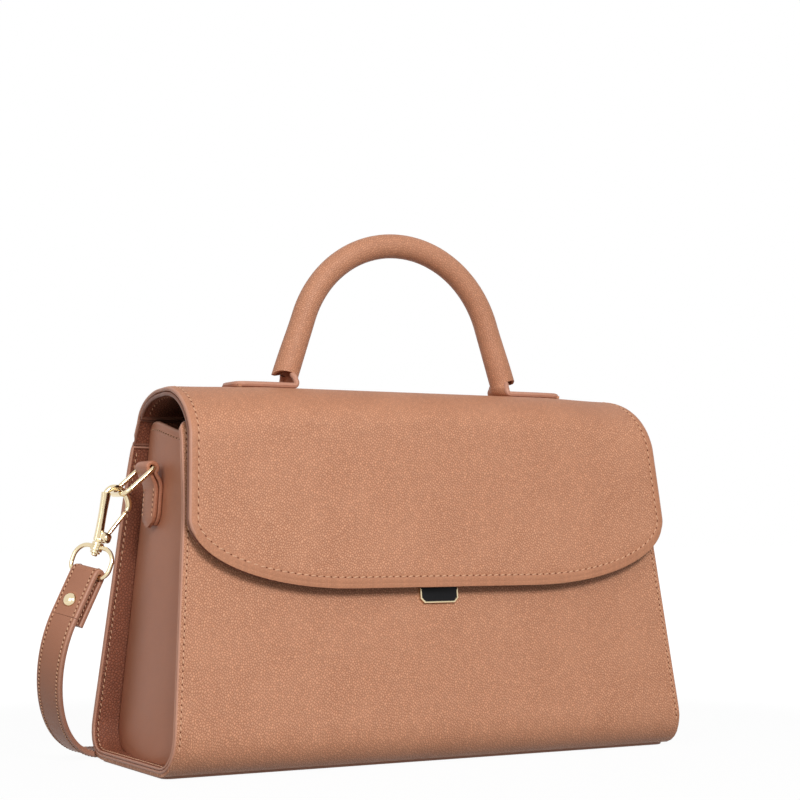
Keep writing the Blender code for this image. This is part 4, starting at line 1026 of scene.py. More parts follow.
def lining():
    """Textile bag liner, open at the top, hanging a little slack."""
    low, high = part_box("lining")
    floor, top = low.z + LINING, high.z
    rows = LINING_ROWS

    def outline(height):
        share = (height - floor) / (top - floor)
        drawn_out = ease(share * 3 + 0.2)
        front, back = low.y + LINING_FOOT_IN, high.y - LINING_FOOT_IN
        front += (-wall_out(height, *FRONT) + LAYERS + LINING_FRONT_IN - front) * drawn_out
        back += (wall_out(height, *BACK) - LAYERS - LINING_BACK_IN - back) * drawn_out
        width = 2 * (GUSSET_HALF_WIDTH - GUSSET_LEAN * height - GUSSET - LINING_SIDE_IN)
        shape = rounded_box(width, back - front, LINING_CORNER, LINING_CORNER_STEPS)
        return [(x, y + (front + back) / 2) for x, y in shape]
    heights = [top - (top - floor) * i / rows for i in range(rows + 1)]
    rings = [outline(height) for height in heights]
    count = len(rings[0])
    around = running_round(rings[0])

    def place(column, row):
        x, y = rings[row][column % count]
        share = row / rows
        slack = LINING_SLACK * sin(around[column] / SLACK_LENGTH + 3 * share) * sin(pi * share)
        shrink = 1 - slack / SLACK_REACH
        return Vector((x * shrink, y * shrink, heights[row])), (around[column], -heights[row]), 1.0
    work = Work()
    faces = work.grid(count, rows, place, TEXTILE, seam=True)
    bottom = [edge for face in faces for edge in face.edges
              if len(edge.link_faces) == 1 and edge.verts[0].co.z < floor + LINING]
    work.paint(bmesh.ops.holes_fill(work.mesh, edges=list(set(bottom)), sides=0)["faces"], TEXTILE)
    everything = list(work.mesh.faces)
    bmesh.ops.recalc_face_normals(work.mesh, faces=everything)
    work.thicken(everything, LINING)
    work.done("lining_cloth", "bag", ("lining",), "lining_textile")


def sole():
    """Sole leather under the base, with rounded edges."""
    low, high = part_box("base_sole")
    middle = (low.y + high.y) / 2
    work = Work()
    work.prism(rounded_box(high.x - low.x, high.y - low.y, SOLE_CORNER), SOLE,
               Matrix.Translation((0, middle, SOLE / 2)), EDGE, bevel=1 * MM, segments=5)
    work.done("sole_leather", "bag", ("base_sole",), "smooth_leather")


# Flap
def flap_profile(flat_back, flat_front, top, shoulder):
    """The cover's outside in one plane: up the back wall, over the top and down the front.

    Each plane has the same count of points.
    """
    front_y = -(FRONT_FOOT + FLAP_STAND_OFF)
    points = [(wall_out(height, *BACK), height) for height in spread(COVER_FROM, BACK_HEIGHT, PROFILE_STEP)]
    rise = top - BACK_SHOULDER_FROM
    start = asin((BACK_HEIGHT - BACK_SHOULDER_FROM) / rise)
    reach = (wall_out(BACK_HEIGHT, *BACK) - flat_back) / cos(start)
    steps = 24
    for i in range(1, steps + 1):
        angle = start + (pi / 2 - start) * i / steps
        points.append((flat_back + reach * cos(angle), BACK_SHOULDER_FROM + rise * sin(angle)))
    points += [(flat_back - (flat_back + flat_front) * share, top) for share in (0.25, 0.5, 0.75)]
    rise = top - shoulder
    reach = -(front_y + FRONT_LEAN * shoulder) - flat_front
    straight = round((shoulder - STRAIGHT_FROM) / PROFILE_STEP)
    arc = 28 - straight
    for i in range(arc + 1):
        angle = pi / 2 * (1 - i / arc)
        height = rise * sin(angle)
        points.append((-flat_front - (reach - FRONT_LEAN * height) * cos(angle), shoulder + height))
    heights = [shoulder - PROFILE_STEP * i for i in range(1, straight + 1)]
    heights += [STRAIGHT_FROM - down for down in spread(0.0, STRAIGHT_FROM - FLAP_BOTTOM, PROFILE_STEP)[1:]]
    return points + [(front_y + FRONT_LEAN * height, height) for height in heights]


def round_share(x):
    """How far the flap has gone over from its flat middle to its rounder ends."""
    return ease((abs(x) - ROUND_FROM) / (ROUND_BY - ROUND_FROM))


class FlapSurface:
    """Outside of the flap, flat on top in the middle and rounder at both ends."""

    def __init__(self, middle, end):
        self.middle = Line(middle)
        self.end = Line(end)
        self.length = self.middle.length

    def reached(self, height):
        """Length along the back at which it reaches a height."""
        return next(s for s, point in zip(self.middle.lengths, self.middle.points)
                    if point.y >= height - GROOVE / 10)

    def at(self, x, s):
        spot = self.middle.spot(s)
        share = round_share(x)
        (point, out), (end_point, end_out) = self.middle.pick(*spot), self.end.pick(*spot)
        return point.lerp(end_point, share), out.lerp(end_out, share).normalized()

    def place(self, x, s, depth):
        point, out = self.at(x, s)
        depth += flap_dip(x, s)
        shift = FLAP_SHIFT * ease((s - FOLD_AT) / (FLAP_CORNER_FROM - FOLD_AT))
        return Vector((x + shift, point.x - out.x * depth, point.y - out.y * depth))

    def out(self, x, s):
        _, out = self.at(x, s)
        return Vector((0, out.x, out.y))


FLAP = FlapSurface(flap_profile(MIDDLE_FLAT_BACK, MIDDLE_FLAT_FRONT, FLAP_TOP, MIDDLE_SHOULDER_FROM),
                   flap_profile(END_FLAT_BACK, END_FLAT_FRONT, FLAP_TOP - END_SAG, END_SHOULDER_FROM))
FOLD_AT = FLAP.reached(BACK_HEIGHT)
LINING_AT = FLAP.reached(FLAP_LINING_FROM)
SLOPE = hypot(1, FRONT_LEAN)
CORNER_RISE = FLAP_CORNER_UP * SLOPE
FLAP_CORNER_FROM = FLAP.length - CORNER_RISE


def flap_half(s, inset=0.0):
    """Half width of the flap at a length along it, or of a line set in from its edge."""
    if s < FOLD_AT:
        point, _ = FLAP.at(0, s)
        return half_width(point.y, 1) - inset
    narrow = half_width(BACK_HEIGHT, 1)
    share = min(1.0, (s - FOLD_AT) / (FLAP_CORNER_FROM - FOLD_AT))
    half = narrow + (FLAP_HALF_WIDTH - narrow) * share - inset
    if s > FLAP_CORNER_FROM:
        down = min(1.0, (s - FLAP_CORNER_FROM) / (CORNER_RISE - inset))
        half -= (FLAP_CORNER_ACROSS - inset) * (1 - sqrt(max(0.0, 1 - down ** 2)))
    return half


def from_flap_edge(x, s):
    """How far a spot lies in from the flap's outline, along the leather."""
    if s <= FLAP_CORNER_FROM:
        return flap_half(s) - abs(x)
    down = s - FLAP_CORNER_FROM
    across = abs(x) - (FLAP_HALF_WIDTH - FLAP_CORNER_ACROSS)
    if across <= 0:
        return CORNER_RISE - down
    share = hypot(across / FLAP_CORNER_ACROSS, down / CORNER_RISE)
    slope = hypot(across / FLAP_CORNER_ACROSS ** 2, down / CORNER_RISE ** 2)
    return (1 - share) * share / slope


def flap_dip(x, s):
    """How far the leather is pressed down: rolled at its rim and drawn in along the seam."""
    away = from_flap_edge(x, s)
    roll = RIM_ROLL * max(0.0, 1 - away / RIM_WIDTH) ** 2
    return roll + SEAM_SINK * exp(-((away - FLAP_SEAM_IN) / (0.7 * MM)) ** 2)


def flap_stops(low, inset):
    """Rows along the flap, closer round its lower corners."""
    rows = spread(low, FLAP_CORNER_FROM, FLAP_STEP)
    turn = 28
    reach = CORNER_RISE - inset
    return rows + [FLAP_CORNER_FROM + reach * sin(pi / 2 * i / turn) for i in range(1, turn + 1)]


def rim_columns(half):
    """Spots across the flap, closer at its rims."""
    outer = [half - step for step in RIM_STEPS]
    middle = [outer[-1] * (1 - 2 * i / MIDDLE_COLUMNS) for i in range(1, MIDDLE_COLUMNS)]
    return outer + middle + [-x for x in reversed(outer)]


def flap_outline(low, inset, depth):
    """Points and outer sides all along the flap's edge, set in from it."""
    stops = flap_stops(low, inset)
    half = flap_half(stops[-1], inset)
    bottom = [half * (1 - 2 * share) for share in spread(0.0, 1.0, FLAP_STEP / (2 * half))][1:-1]
    places = [(flap_half(s, inset), s) for s in stops]
    places += [(x, stops[-1]) for x in bottom]
    places += [(-flap_half(s, inset), s) for s in reversed(stops)]
    return [FLAP.place(x, s, depth) for x, s in places], [FLAP.out(x, s) for x, s in places]


def cover_grain(x, s):
    """The grain shows less in the rim and where the leather is pulled over the front bend."""
    point, _ = FLAP.at(x, s)
    rim = 0.08 + 0.92 * ease((from_flap_edge(x, s) - FLAP_SEAM_IN) / (2.6 * MM))
    if point.x > 0:
        return min(rim, 0.5)
    return min(rim, 0.12 + 0.88 * ease((FLAP_TOP - 4 * MM - point.y) / (14 * MM)))


def bend_with_flap(piece):
    """Bakes a piece's placement into its mesh. The point at the back's top that the flap turns about is
    worked out but not used.
    """
    fold = Vector((0, wall_out(BACK_HEIGHT, *BACK), BACK_HEIGHT))
    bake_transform(piece)


def flap_layer(name, low, depth, finish, grain, edge, node, slot):
    """One leather of the flap with its edges."""
    radius = FLAP_LEATHER / 2
    stops = flap_stops(low, radius)
    columns = [rim_columns(flap_half(s, radius)) for s in stops]

    def place(column, row):
        x, s = columns[row][column], stops[row]
        return FLAP.place(x, s, depth), (x, s), grain(x, s)
    work = Work()
    work.thicken(work.grid(len(columns[0]) - 1, len(stops) - 1, place, finish), FLAP_LEATHER)
    points, ups = flap_outline(low, radius, depth + radius)
    work.tube(points, ups, radius, edge, sides=12, closed=True)
    bend_with_flap(work.done(name, None, (node,), slot))


def flap():
    """Outer leather, lining and the seam that ties them."""
    flap_layer("flap_cover", FLAP_LEATHER / 2, 0.0, GRAINED, cover_grain, EDGE, "flap_leather",
               "grained_leather")
    flap_layer("flap_backing", LINING_AT, FLAP_LEATHER + GROOVE, WING, lambda x, s: 0.8, DARK_EDGE,
               "flap_lining", "smooth_leather")
    work = Work()
    under = 2 * FLAP_LEATHER + GROOVE
    for low, depth, face in ((FOLD_AT + 2 * MM, 0.0, 1), (LINING_AT + 3 * MM, under, -1)):
        points, ups = flap_outline(low, FLAP_SEAM_IN, depth)
        work.stitches(points, [up * face for up in ups], FLAP_PITCH)
    bend_with_flap(work.done("flap_stitching", None, (), "grained_leather"))


# Handle
def handle_spine():
    """Stations of the roll and its tongues, from the middle to the right tip.

    Each is the inner line of the leather, the way to its axis, the curl of its section and whether the
    roll is closed.
    """
    centre = HANDLE_TOP - HANDLE_ARC
    sweep = pi / 2 - HANDLE_FLARE
    stations = []
    for i in range(ARC_STEPS + 1):
        angle = pi / 2 - sweep * i / ARC_STEPS
        out = Vector((cos(angle), sin(angle)))
        stations.append((Vector((0, centre)) + out * (HANDLE_ARC - HANDLE_RADIUS), out, 1.0, True))
    out = Vector((cos(HANDLE_FLARE), sin(HANDLE_FLARE)))
    down = Vector((sin(HANDLE_FLARE), -cos(HANDLE_FLARE)))
    leg = Vector((0, centre)) + out * (HANDLE_ARC - HANDLE_RADIUS)
    mouth = FLAP_TOP + HANDLE_MOUTH
    flat = FLAP_TOP + GROOVE
    turn_centre_drop = (leg + out * TONGUE_TURN).y - (flat + TONGUE_TURN)
    leg_end = leg + down * (turn_centre_drop / cos(HANDLE_FLARE))
    to_mouth = (leg.y - mouth) / cos(HANDLE_FLARE)
    for i in range(1, LEG_STEPS + 1):
        foot = HANDLE_RADIUS + (HANDLE_FOOT_RADIUS - HANDLE_RADIUS) * ease(i / LEG_STEPS)
        stations.append((leg + down * (to_mouth * i / LEG_STEPS), out, HANDLE_RADIUS / foot, True))
    rest = (leg_end - leg).length - to_mouth
    for i in range(1, OPENING_STEPS + 1):
        curl = HANDLE_RADIUS / HANDLE_FOOT_RADIUS - OPENED_BY * ease(i / OPENING_STEPS)
        stations.append((leg + down * (to_mouth + rest * i / OPENING_STEPS), out, curl, False))
    pivot = leg_end + out * TONGUE_TURN
    for i in range(1, TURN_STEPS + 1):
        angle = pi + HANDLE_FLARE + (pi / 2 - HANDLE_FLARE) * i / TURN_STEPS
        way = Vector((cos(angle), sin(angle)))
        stations.append((pivot + way * TONGUE_TURN, -way, TURN_CURL * (1 - ease(i / TURN_STEPS)), False))
    start = pivot.x
    for i in range(1, TONGUE_STEPS + 1):
        x = start + (TONGUE_END - start) * sin(pi / 2 * i / TONGUE_STEPS)
        stations.append((Vector((x, flat - END_SAG * round_share(x))), Vector((0, 1)), 0.0, False))
    return stations


def handle_section(station, share, depth=0.0):
    """A point of the roll's section, its outer side and its length round the section.

    The share runs -1 to 1 over the tongue's width and beyond it round the roll.
    """
    spine, way, curl, closed = station
    into = max(0.0, abs(spine.x) - (TONGUE_END - TONGUE_CORNER))
    narrow = TONGUE_HALF_WIDTH - TONGUE_CORNER + sqrt(max(0.0, TONGUE_CORNER ** 2 - into ** 2))
    bend = curl / HANDLE_RADIUS
    over = max(0.0, abs(share) - 1)
    if over:
        reach = pi / bend if closed else pi * HANDLE_RADIUS
        arc = (TONGUE_HALF_WIDTH + over * (reach - TONGUE_HALF_WIDTH)) * (1 if share > 0 else -1)
    else:
        arc = share * narrow
    angle = arc * bend
    lift = (1 - cos(angle)) / bend if bend > 1e-3 else 0.0
    side = sin(angle) / bend if bend > 1e-3 else arc
    point = spine + way * lift
    out = -way * cos(angle)
    point -= out * depth
    if closed and over:
        near = ease(1 - (spine.y - FLAP_TOP - HANDLE_MOUTH) / MOUTH_SLANT_OVER)
        point += Vector((way.y if way.x > 0 else -way.y, -abs(way.x))) * (
            MOUTH_SLANT * over * near * (1 + 0.8 * side / HANDLE_FOOT_RADIUS))
    y = HANDLE_AT + side - sin(angle) * depth
    return Vector((point.x, y, point.y)), Vector((out.x, sin(angle), out.y)), arc


def mirrored(stations):
    """The same stations on the left side."""
    return [(Vector((-spine.x, spine.y)), Vector((-way.x, way.y)), curl, closed)
            for spine, way, curl, closed in stations]


def lean_with_handle(piece):
    """Bakes a piece's placement into its mesh."""
    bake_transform(piece)


def handle():
    """Rolled handle whose inner half runs down into a tongue on each side, and the tongues' backing."""
    right = handle_spine()
    stations = mirrored(right[1:])[::-1] + right
    lengths = running([station[0] for station in stations])
    shares = [-2 + i / ROLL_COLUMNS for i in range(ROLL_COLUMNS)]
    shares += [-1 + 2 * i / TONGUE_COLUMNS for i in range(TONGUE_COLUMNS)]
    shares += [1 + i / ROLL_COLUMNS for i in range(ROLL_COLUMNS + 1)]

    def place(column, row):
        point, _, arc = handle_section(stations[row], shares[column])
        return point, (arc, lengths[row]), 1.0
    work = Work()
    extra = []
    for face in work.grid(len(shares) - 1, len(stations) - 1, place, ROLLED):
        spots = [loop[work.cut].uv for loop in face.loops]
        across, along = (sum(spot[axis] for spot in spots) / 4 for axis in (0, 1))
        row = bisect_right(lengths, along) - 1
        if abs(across) > TONGUE_HALF_WIDTH and not (stations[row][3] and stations[row + 1][3]):
            extra.append(face)
    bmesh.ops.delete(work.mesh, geom=extra, context="FACES")
    bmesh.ops.remove_doubles(work.mesh, verts=list(work.mesh.verts), dist=GROOVE / 1000)
    work.thicken(list(work.mesh.faces), HANDLE_WALL)
    radius = (HANDLE_WALL + GROOVE + TONGUE_BACKING) / 2
    open_from = sum(1 for station in right if station[3])
    for ends in (right[open_from:], mirrored(right[open_from:])):
        tongue_edge(work, ends, radius)
    nodes = ("handle_cover", "handle_tab_left", "handle_tab_right")
    lean_with_handle(work.done("handle_roll", None, nodes, "grained_leather"))

    work = Work()
    depth = HANDLE_WALL + GROOVE
    backing = right[open_from - 2:]
    for side, flipped in ((backing, False), (mirrored(backing), True)):
        def place_backing(column, row):
            share = (1 - 2 * column / TONGUE_COLUMNS) * BACKING_SHARE
            point, _, arc = handle_section(side[row], share, depth)
            return point, (arc, row * 2 * MM), 0.5
        made = work.grid(TONGUE_COLUMNS, len(side) - 1, place_backing, SMOOTH)
        if flipped:
            bmesh.ops.reverse_faces(work.mesh, faces=made)
        work.thicken(made, TONGUE_BACKING)
    lean_with_handle(work.done("tongue_backing", None, (), "smooth_leather"))


def tongue_edge(work, stations, radius):
    """Rounded edge round a tongue, from the mouth of the roll on one side to the other."""
    points, ups = [], []
    for share, row in ((1, stations), (-1, stations[::-1])):
        for station in row:
            point, out, _ = handle_section(station, share, radius)
            points.append(point)
            ups.append(out)
    work.tube(points, ups, radius, EDGE, sides=8)


# Catch plate
def catch():
    """Gold plate with a raised rim and a black inlay."""
    up = Vector((0, FRONT_LEAN, 1)) / SLOPE
    out = Vector((0, -1, FRONT_LEAN)) / SLOPE

    def seat(distance):
        point = Vector((0, -FRONT_FOOT + FRONT_LEAN * PLATE_BOTTOM, PLATE_BOTTOM))
        return axes(point + out * distance, Vector((1, 0, 0)), up, out)

    def outline(margin):
        half, low, high = PLATE_WIDTH / 2 - margin, margin, PLATE_HEIGHT - margin
        cut = PLATE_CHAMFER - margin * 0.4
        return [(half, low + cut), (half, high), (-half, high), (-half, low + cut), (-half + cut, low),
                (half - cut, low)]
    work = Work()
    base = PLATE - INLAY_DROP
    work.prism(outline(0), base, seat(GROOVE + base / 2), GOLD, bevel=0.2 * MM)
    rim = []
    for margin, lift in ((0.0, 0.0), (0.0, 0.75), (0.12 * MM, 0.95), (0.35 * MM, 1.0),
                         (PLATE_RIM - 0.5 * MM, 1.0), (PLATE_RIM - 0.2 * MM, 0.9), (PLATE_RIM, 0.55),
                         (PLATE_RIM, 0.0)):
        rim.append([Vector((x, y, PLATE * 0.5 + PLATE * 0.5 * lift)) for x, y in outline(margin)])
    count = len(rim[0])

    def place(column, row):
        point = seat(GROOVE) @ rim[row][column % count]
        return point, (column * MM, row * MM), 0.0
    faces = work.grid(count, len(rim) - 1, place, GOLD, seam=True)
    bmesh.ops.recalc_face_normals(work.mesh, faces=faces)
    work.done("catch_plate", "bag", ("lock_plate",), "pale_gold", sharp=30)
    work = Work()
    work.prism(outline(PLATE_RIM + 0.05 * MM), INLAY, seat(GROOVE + base + INLAY / 2 - INLAY_SINK), ENAMEL,
               bevel=0.15 * MM)
    work.done("catch_inlay", "bag", ("lock_inlay",), "black_enamel")


# Side tab and hardware of the left side
def side_tab():
    """Leather tab folded round the D-ring's bar and sewn to the gusset."""
    outer = SIDE_TAB_EYE + SIDE_TAB
    height = RING_BAR_HEIGHT

    def wall(z):
        """Where the gusset's outside is at a height."""
        return gusset_place(SIDE_TAB_ACROSS, z).x - TOUCH
    middle = SIDE_TAB_EYE + SIDE_TAB / 2
    line = [Vector((wall(z) - SIDE_TAB / 2, z))
            for z in spread(SIDE_TAB_END + 1 * MM, height - outer, SIDE_TAB_STEP)]
    loop = []
    for i in range(SIDE_TAB_TURN_STEPS + 1):
        angle = radians(-70 + 250 * i / SIDE_TAB_TURN_STEPS)
        loop.append(Vector((-RING_BAR_OUT + middle * cos(angle), height + middle * sin(angle))))
    down_from = loop[-1]
    front = [Vector((wall(z) - SIDE_TAB * 1.5 - TOUCH, z))
             for z in spread(SIDE_TAB_END, height - 2.2 * outer, SIDE_TAB_STEP)]
    path = line[:-1] + loop + [down_from.lerp(front[-1], 0.5) + Vector((-0.6 * MM, 0))] + front[::-1]
    smooth = [path[0]]
    for a, b, c in zip(path, path[1:], path[2:]):
        smooth.append((a + b * 2 + c) / 4)
    smooth.append(path[-1])
    stations = []
    for i, point in enumerate(smooth):
        run = heading(smooth, i)
        centre = Vector((point.x, RING_AT, point.y))
        stations.append((centre, Vector((0, 1, 0)), Vector((run.y, 0, -run.x))))
    work = Work()
    count = len(stations)

    def section(row):
        """The tab's round lower end, on both layers."""
        z = stations[row][0].z
        round_from = SIDE_TAB_END + SIDE_TAB_WIDTH / 2
        if count * 0.25 <= row <= count * 0.6 or z >= round_from:
            return 1.0
        below = min(1.0, (round_from - z) / (SIDE_TAB_WIDTH / 2))
        return sqrt(max(0.02, 1 - below ** 2))
    outline = rounded_box(SIDE_TAB_WIDTH, SIDE_TAB * 0.94, 0.6 * MM, 3)

    def place(column, row):
        centre, width, face = stations[row]
        across, up = outline[column % len(outline)]
        return centre + width * across * section(row) + face * up, (across, row * MM), 0.4
    faces = work.grid(len(outline), count - 1, place, SMOOTH, seam=True)
    work.close(faces, SMOOTH)
    bmesh.ops.recalc_face_normals(work.mesh, faces=list(work.mesh.faces))
    seam_z = spread(SIDE_TAB_END + 5 * MM, height - 2.6 * outer, 2 * MM)
    for way in (-1, 1):
        y = RING_AT + way * (SIDE_TAB_WIDTH / 2 - SIDE_TAB_SEAM_IN)
        points = [Vector((wall(z) - 2 * SIDE_TAB - TOUCH, y, z)) for z in seam_z]
        work.stitches(points, [Vector((-1, 0, 0))] * len(points), STRAP_PITCH)
    both_sides(work, "side_tab_leather", "bag", "side_tab", "smooth_leather")


BAR = Vector((-RING_BAR_OUT, RING_AT, RING_BAR_HEIGHT))
HOOK_U = Vector((cos(HOOK_LEAN), 0, -sin(HOOK_LEAN)))
HOOK_V = Vector((0, 1, 0))
HOOK_W = Vector((sin(HOOK_LEAN), 0, cos(HOOK_LEAN)))
HUB_AXES = axes(HUB, HOOK_U, HOOK_V, HOOK_W)


def hook_point(u, w, v=0.0):
    """A point in the hook's own frame: u across its plane, w up its stem and v square to both."""
    return HUB + HOOK_U * u + HOOK_V * v + HOOK_W * w


def across_v(u, w, v=0.0):
    """Axes at a point of the hook, with Z square to its plane."""
    return axes(hook_point(u, w, v), HOOK_U, HOOK_W, -HOOK_V)


def hook_share(share):
    """Shares of the hook's width and length, in metres."""
    return share[0] * HOOK_WIDTH, share[1] * HOOK_LENGTH


def smooth_path(knots, steps):
    """A smooth curve through knots."""
    ends = [knots[0] * 2 - knots[1]] + list(knots) + [knots[-1] * 2 - knots[-2]]
    points = []
    for a, b, c, d in zip(ends, ends[1:], ends[2:], ends[3:]):
        for i in range(steps):
            t = i / steps
            points.append((b * 2 + (c - a) * t + (a * 2 - b * 5 + c * 4 - d) * t ** 2
                           + (b * 3 - a - c * 3 + d) * t ** 3) / 2)
    return points + [ends[-2]]


def d_ring():
    """Closed wire ring with its bar in the side tab."""
    droop = Vector((-cos(RING_DROOP), 0, -sin(RING_DROOP)))
    outline = rounded_box(RING_WIDTH, RING_LENGTH, RING_CORNER, 10, RING_BAR_CORNER)
    points = [BAR + Vector((0, a, 0)) + droop * (RING_LENGTH / 2 - b) for a, b in outline]
    up = Vector((0, 1, 0)).cross(droop)
    work = Work()
    work.tube(points, [up] * len(points), RING_WIRE, GOLD, sides=20, closed=True)
    both_sides(work, "d_ring_wire", "ring", "d_ring", "pale_gold")


def hook_body():
    """Bow, flat side bar, forked lug, ribbed collar and the stem that turns in the hub."""
    work = Work()
    bow = smooth_path([hook_point(*hook_share(share)) for share in HOOK_BOW_SHARES], 5)
    sizes = [HOOK_WIRE * (1 - 0.12 * ease((i - len(bow) * 0.8) / (len(bow) * 0.2)))
             for i in range(len(bow))]
    work.tube(bow, [HOOK_V] * len(bow), sizes, GOLD, sides=20)
    root, top = hook_share(HOOK_BAR_ROOT_SHARES), hook_share(HOOK_BOW_SHARES[1])
    length = hypot(top[0] - root[0], top[1] - root[1])
    lean = Vector(((top[0] - root[0]) / length, (top[1] - root[1]) / length))
    side_way, up_way = HOOK_U * lean.y - HOOK_W * lean.x, HOOK_U * lean.x + HOOK_W * lean.y
    outline = rounded_box(HOOK_BAR_WIDTH, HOOK_BAR_DEPTH, 0.75 * MM, 4)
    stations = []
    for i in range(17):
        share = i / 16
        u, w = root[0] + (top[0] - root[0]) * share, root[1] + (top[1] - root[1]) * share
        slim = 1 - 0.16 * sin(pi * share)
        stations.append((hook_point(u, w) + up_way * ((share - 0.5) * HOOK_WIRE), side_way * slim, -HOOK_V))
    faces = work.band(stations, outline, GOLD)
    bmesh.ops.recalc_face_normals(work.mesh, faces=faces)
    lug_u = PIVOT_ACROSS - LUG_WIDTH / 2 + EYE_RADIUS + TOUCH * 2
    cheek = (LUG_DEPTH - SLOT_DEPTH) / 2
    for way in (-1, 1):
        work.prism(rounded_box(LUG_WIDTH, LUG_HEIGHT, EYE_RADIUS, 8), cheek,
                   across_v(lug_u, PIVOT_UP, way * (SLOT_DEPTH + cheek) / 2), GOLD, bevel=0.25 * MM)
    web = PIVOT_ACROSS - EYE_RADIUS - TOUCH - (lug_u - LUG_WIDTH / 2)
    work.prism(rounded_box(web, LUG_HEIGHT, 0.3 * MM, 3), SLOT_DEPTH + cheek,
               across_v(lug_u - LUG_WIDTH / 2 + web / 2, PIVOT_UP), GOLD)
    top_of_hub = HUB_LENGTH / 2
    base = top_of_hub + TOUCH
    neck = PIVOT_UP - LUG_HEIGHT / 2 + 0.4 * MM
    collar = [(0, neck), (STEM_RADIUS * 1.5, neck), (COLLAR_RADIUS * 0.82, base + COLLAR * 1.2),
              (COLLAR_RADIUS * 0.98, base + COLLAR), (COLLAR_RADIUS, base + COLLAR * 0.7),
              (COLLAR_RADIUS * 0.86, base + COLLAR * 0.55), (COLLAR_RADIUS * 0.86, base + COLLAR * 0.45),
              (COLLAR_RADIUS, base + COLLAR * 0.3), (COLLAR_RADIUS * 0.96, base), (STEM_RADIUS, base),
              (STEM_RADIUS, -base), (STEM_HEAD_RADIUS, -base), (STEM_HEAD_RADIUS, -base - 0.8 * MM),
              (STEM_HEAD_RADIUS * 0.85, -base - 1 * MM), (STEM_HEAD_RADIUS * 0.62, -base - 1.2 * MM),
              (STEM_HEAD_RADIUS * 0.6, -base - 2.0 * MM), (STEM_HEAD_RADIUS * 0.4, -base - 2.3 * MM),
              (0, -base - 2.3 * MM)]
    work.turned(collar, HUB_AXES, GOLD)
    both_sides(work, "snap_hook", "hook", "hook_body", "pale_gold", 32)


def gate():
    """Rivet and lever of the snap hook."""
    half = LUG_DEPTH / 2 + GROOVE
    head = PIN_HEAD_RADIUS
    dome = [(head * sin(radians(18 * i)), half + 0.5 * MM * cos(radians(18 * i))) for i in range(6)]
    profile = dome + [(PIN_RADIUS, half), (PIN_RADIUS, -half)]
    profile += [(radius, -height) for radius, height in reversed(dome)]
    work = Work()
    work.turned(profile, across_v(PIVOT_ACROSS, PIVOT_UP), GOLD, 28)
    both_sides(work, "hook_rivet", "hook", "gate_pin", "pale_gold")

    work = Work()
    eye_v = -(SLOT_DEPTH / 2 - TOUCH - EYE_DEPTH / 2)
    pivot = Vector((PIVOT_ACROSS, PIVOT_UP))
    ring = [(PIN_RADIUS + 0.1 * MM, EYE_DEPTH / 2), (EYE_RADIUS - 0.2 * MM, EYE_DEPTH / 2),
            (EYE_RADIUS, EYE_DEPTH / 2 - 0.2 * MM), (EYE_RADIUS, -EYE_DEPTH / 2 + 0.2 * MM),
            (EYE_RADIUS - 0.2 * MM, -EYE_DEPTH / 2), (PIN_RADIUS + 0.1 * MM, -EYE_DEPTH / 2),
            (PIN_RADIUS + 0.1 * MM, EYE_DEPTH / 2)]
    work.turned(ring, across_v(pivot.x, pivot.y, eye_v), GOLD, 28)
    nose = Vector(hook_share(HOOK_BOW_SHARES[-1]))
    way = (nose - pivot).normalized()
    start = pivot + way * EYE_RADIUS * 0.9
    tip = nose - way * (GATE_GAP + TOUCH)
    middle = pivot.lerp(nose, 1 / 3)
    knots = [hook_point(start.x, start.y, eye_v), hook_point(middle.x, middle.y, eye_v / 2),
             hook_point((middle.x + tip.x) / 2, (middle.y + tip.y) / 2, 0), hook_point(tip.x, tip.y)]
    path = smooth_path(knots, 8)
    sizes = [GATE_WIRE * (0.8 + 0.2 * ease(i / 6)) for i in range(len(path))]
    sizes[-1] = GATE_WIRE * 0.75
    work.tube(path, [HOOK_V] * len(path), sizes, GOLD, sides=18)
    both_sides(work, "gate_lever", "gate", "hook_gate", "pale_gold")


# Strap ring and strap
RING_B = Vector((cos(STRAP_TURN), -sin(STRAP_TURN), -cos(STRAP_TURN) * HOOK_W.x / HOOK_W.z)).normalized()
RING_N = HOOK_W.cross(RING_B)
RING_BOTTOM = HUB - HOOK_W * STRAP_RING_HEIGHT
STRAP_DOWN = HOOK_W * -cos(STRAP_SWING) + RING_N * sin(STRAP_SWING)
STRAP_FACE = STRAP_DOWN.cross(RING_B).normalized()
FOLD_MID = STRAP_RING_WIRE + STRAP_FOLD_PLAY + STRAP / 2


def strap_ring():
    """Oval ring cast with the ribbed hub that the hook turns in."""
    work = Work()
    half, radius = HUB_LENGTH / 2, HUB_RADIUS
    upper = [(STEM_RADIUS + GROOVE, half), (radius * 0.9, half), (radius, half - 0.35 * MM),
             (radius, half * 0.3), (radius * 0.88, half * 0.16)]
    hub = upper + [(out, -up) for out, up in reversed(upper)] + upper[:1]
    work.turned(hub, HUB_AXES, GOLD)
    centre = HUB - HOOK_W * (STRAP_RING_HEIGHT / 2)
    outline = rounded_box(2 * STRAP_RING_HALF_WIDTH, STRAP_RING_HEIGHT, STRAP_RING_CORNER, 10,
                          STRAP_RING_BOW)
    points = [centre + RING_B * a + HOOK_W * b for a, b in outline]
    work.tube(points, [RING_N] * len(points), STRAP_RING_WIRE, GOLD, sides=20, closed=True)
    both_sides(work, "strap_ring_oval", "hang", "strap_ring", "pale_gold")


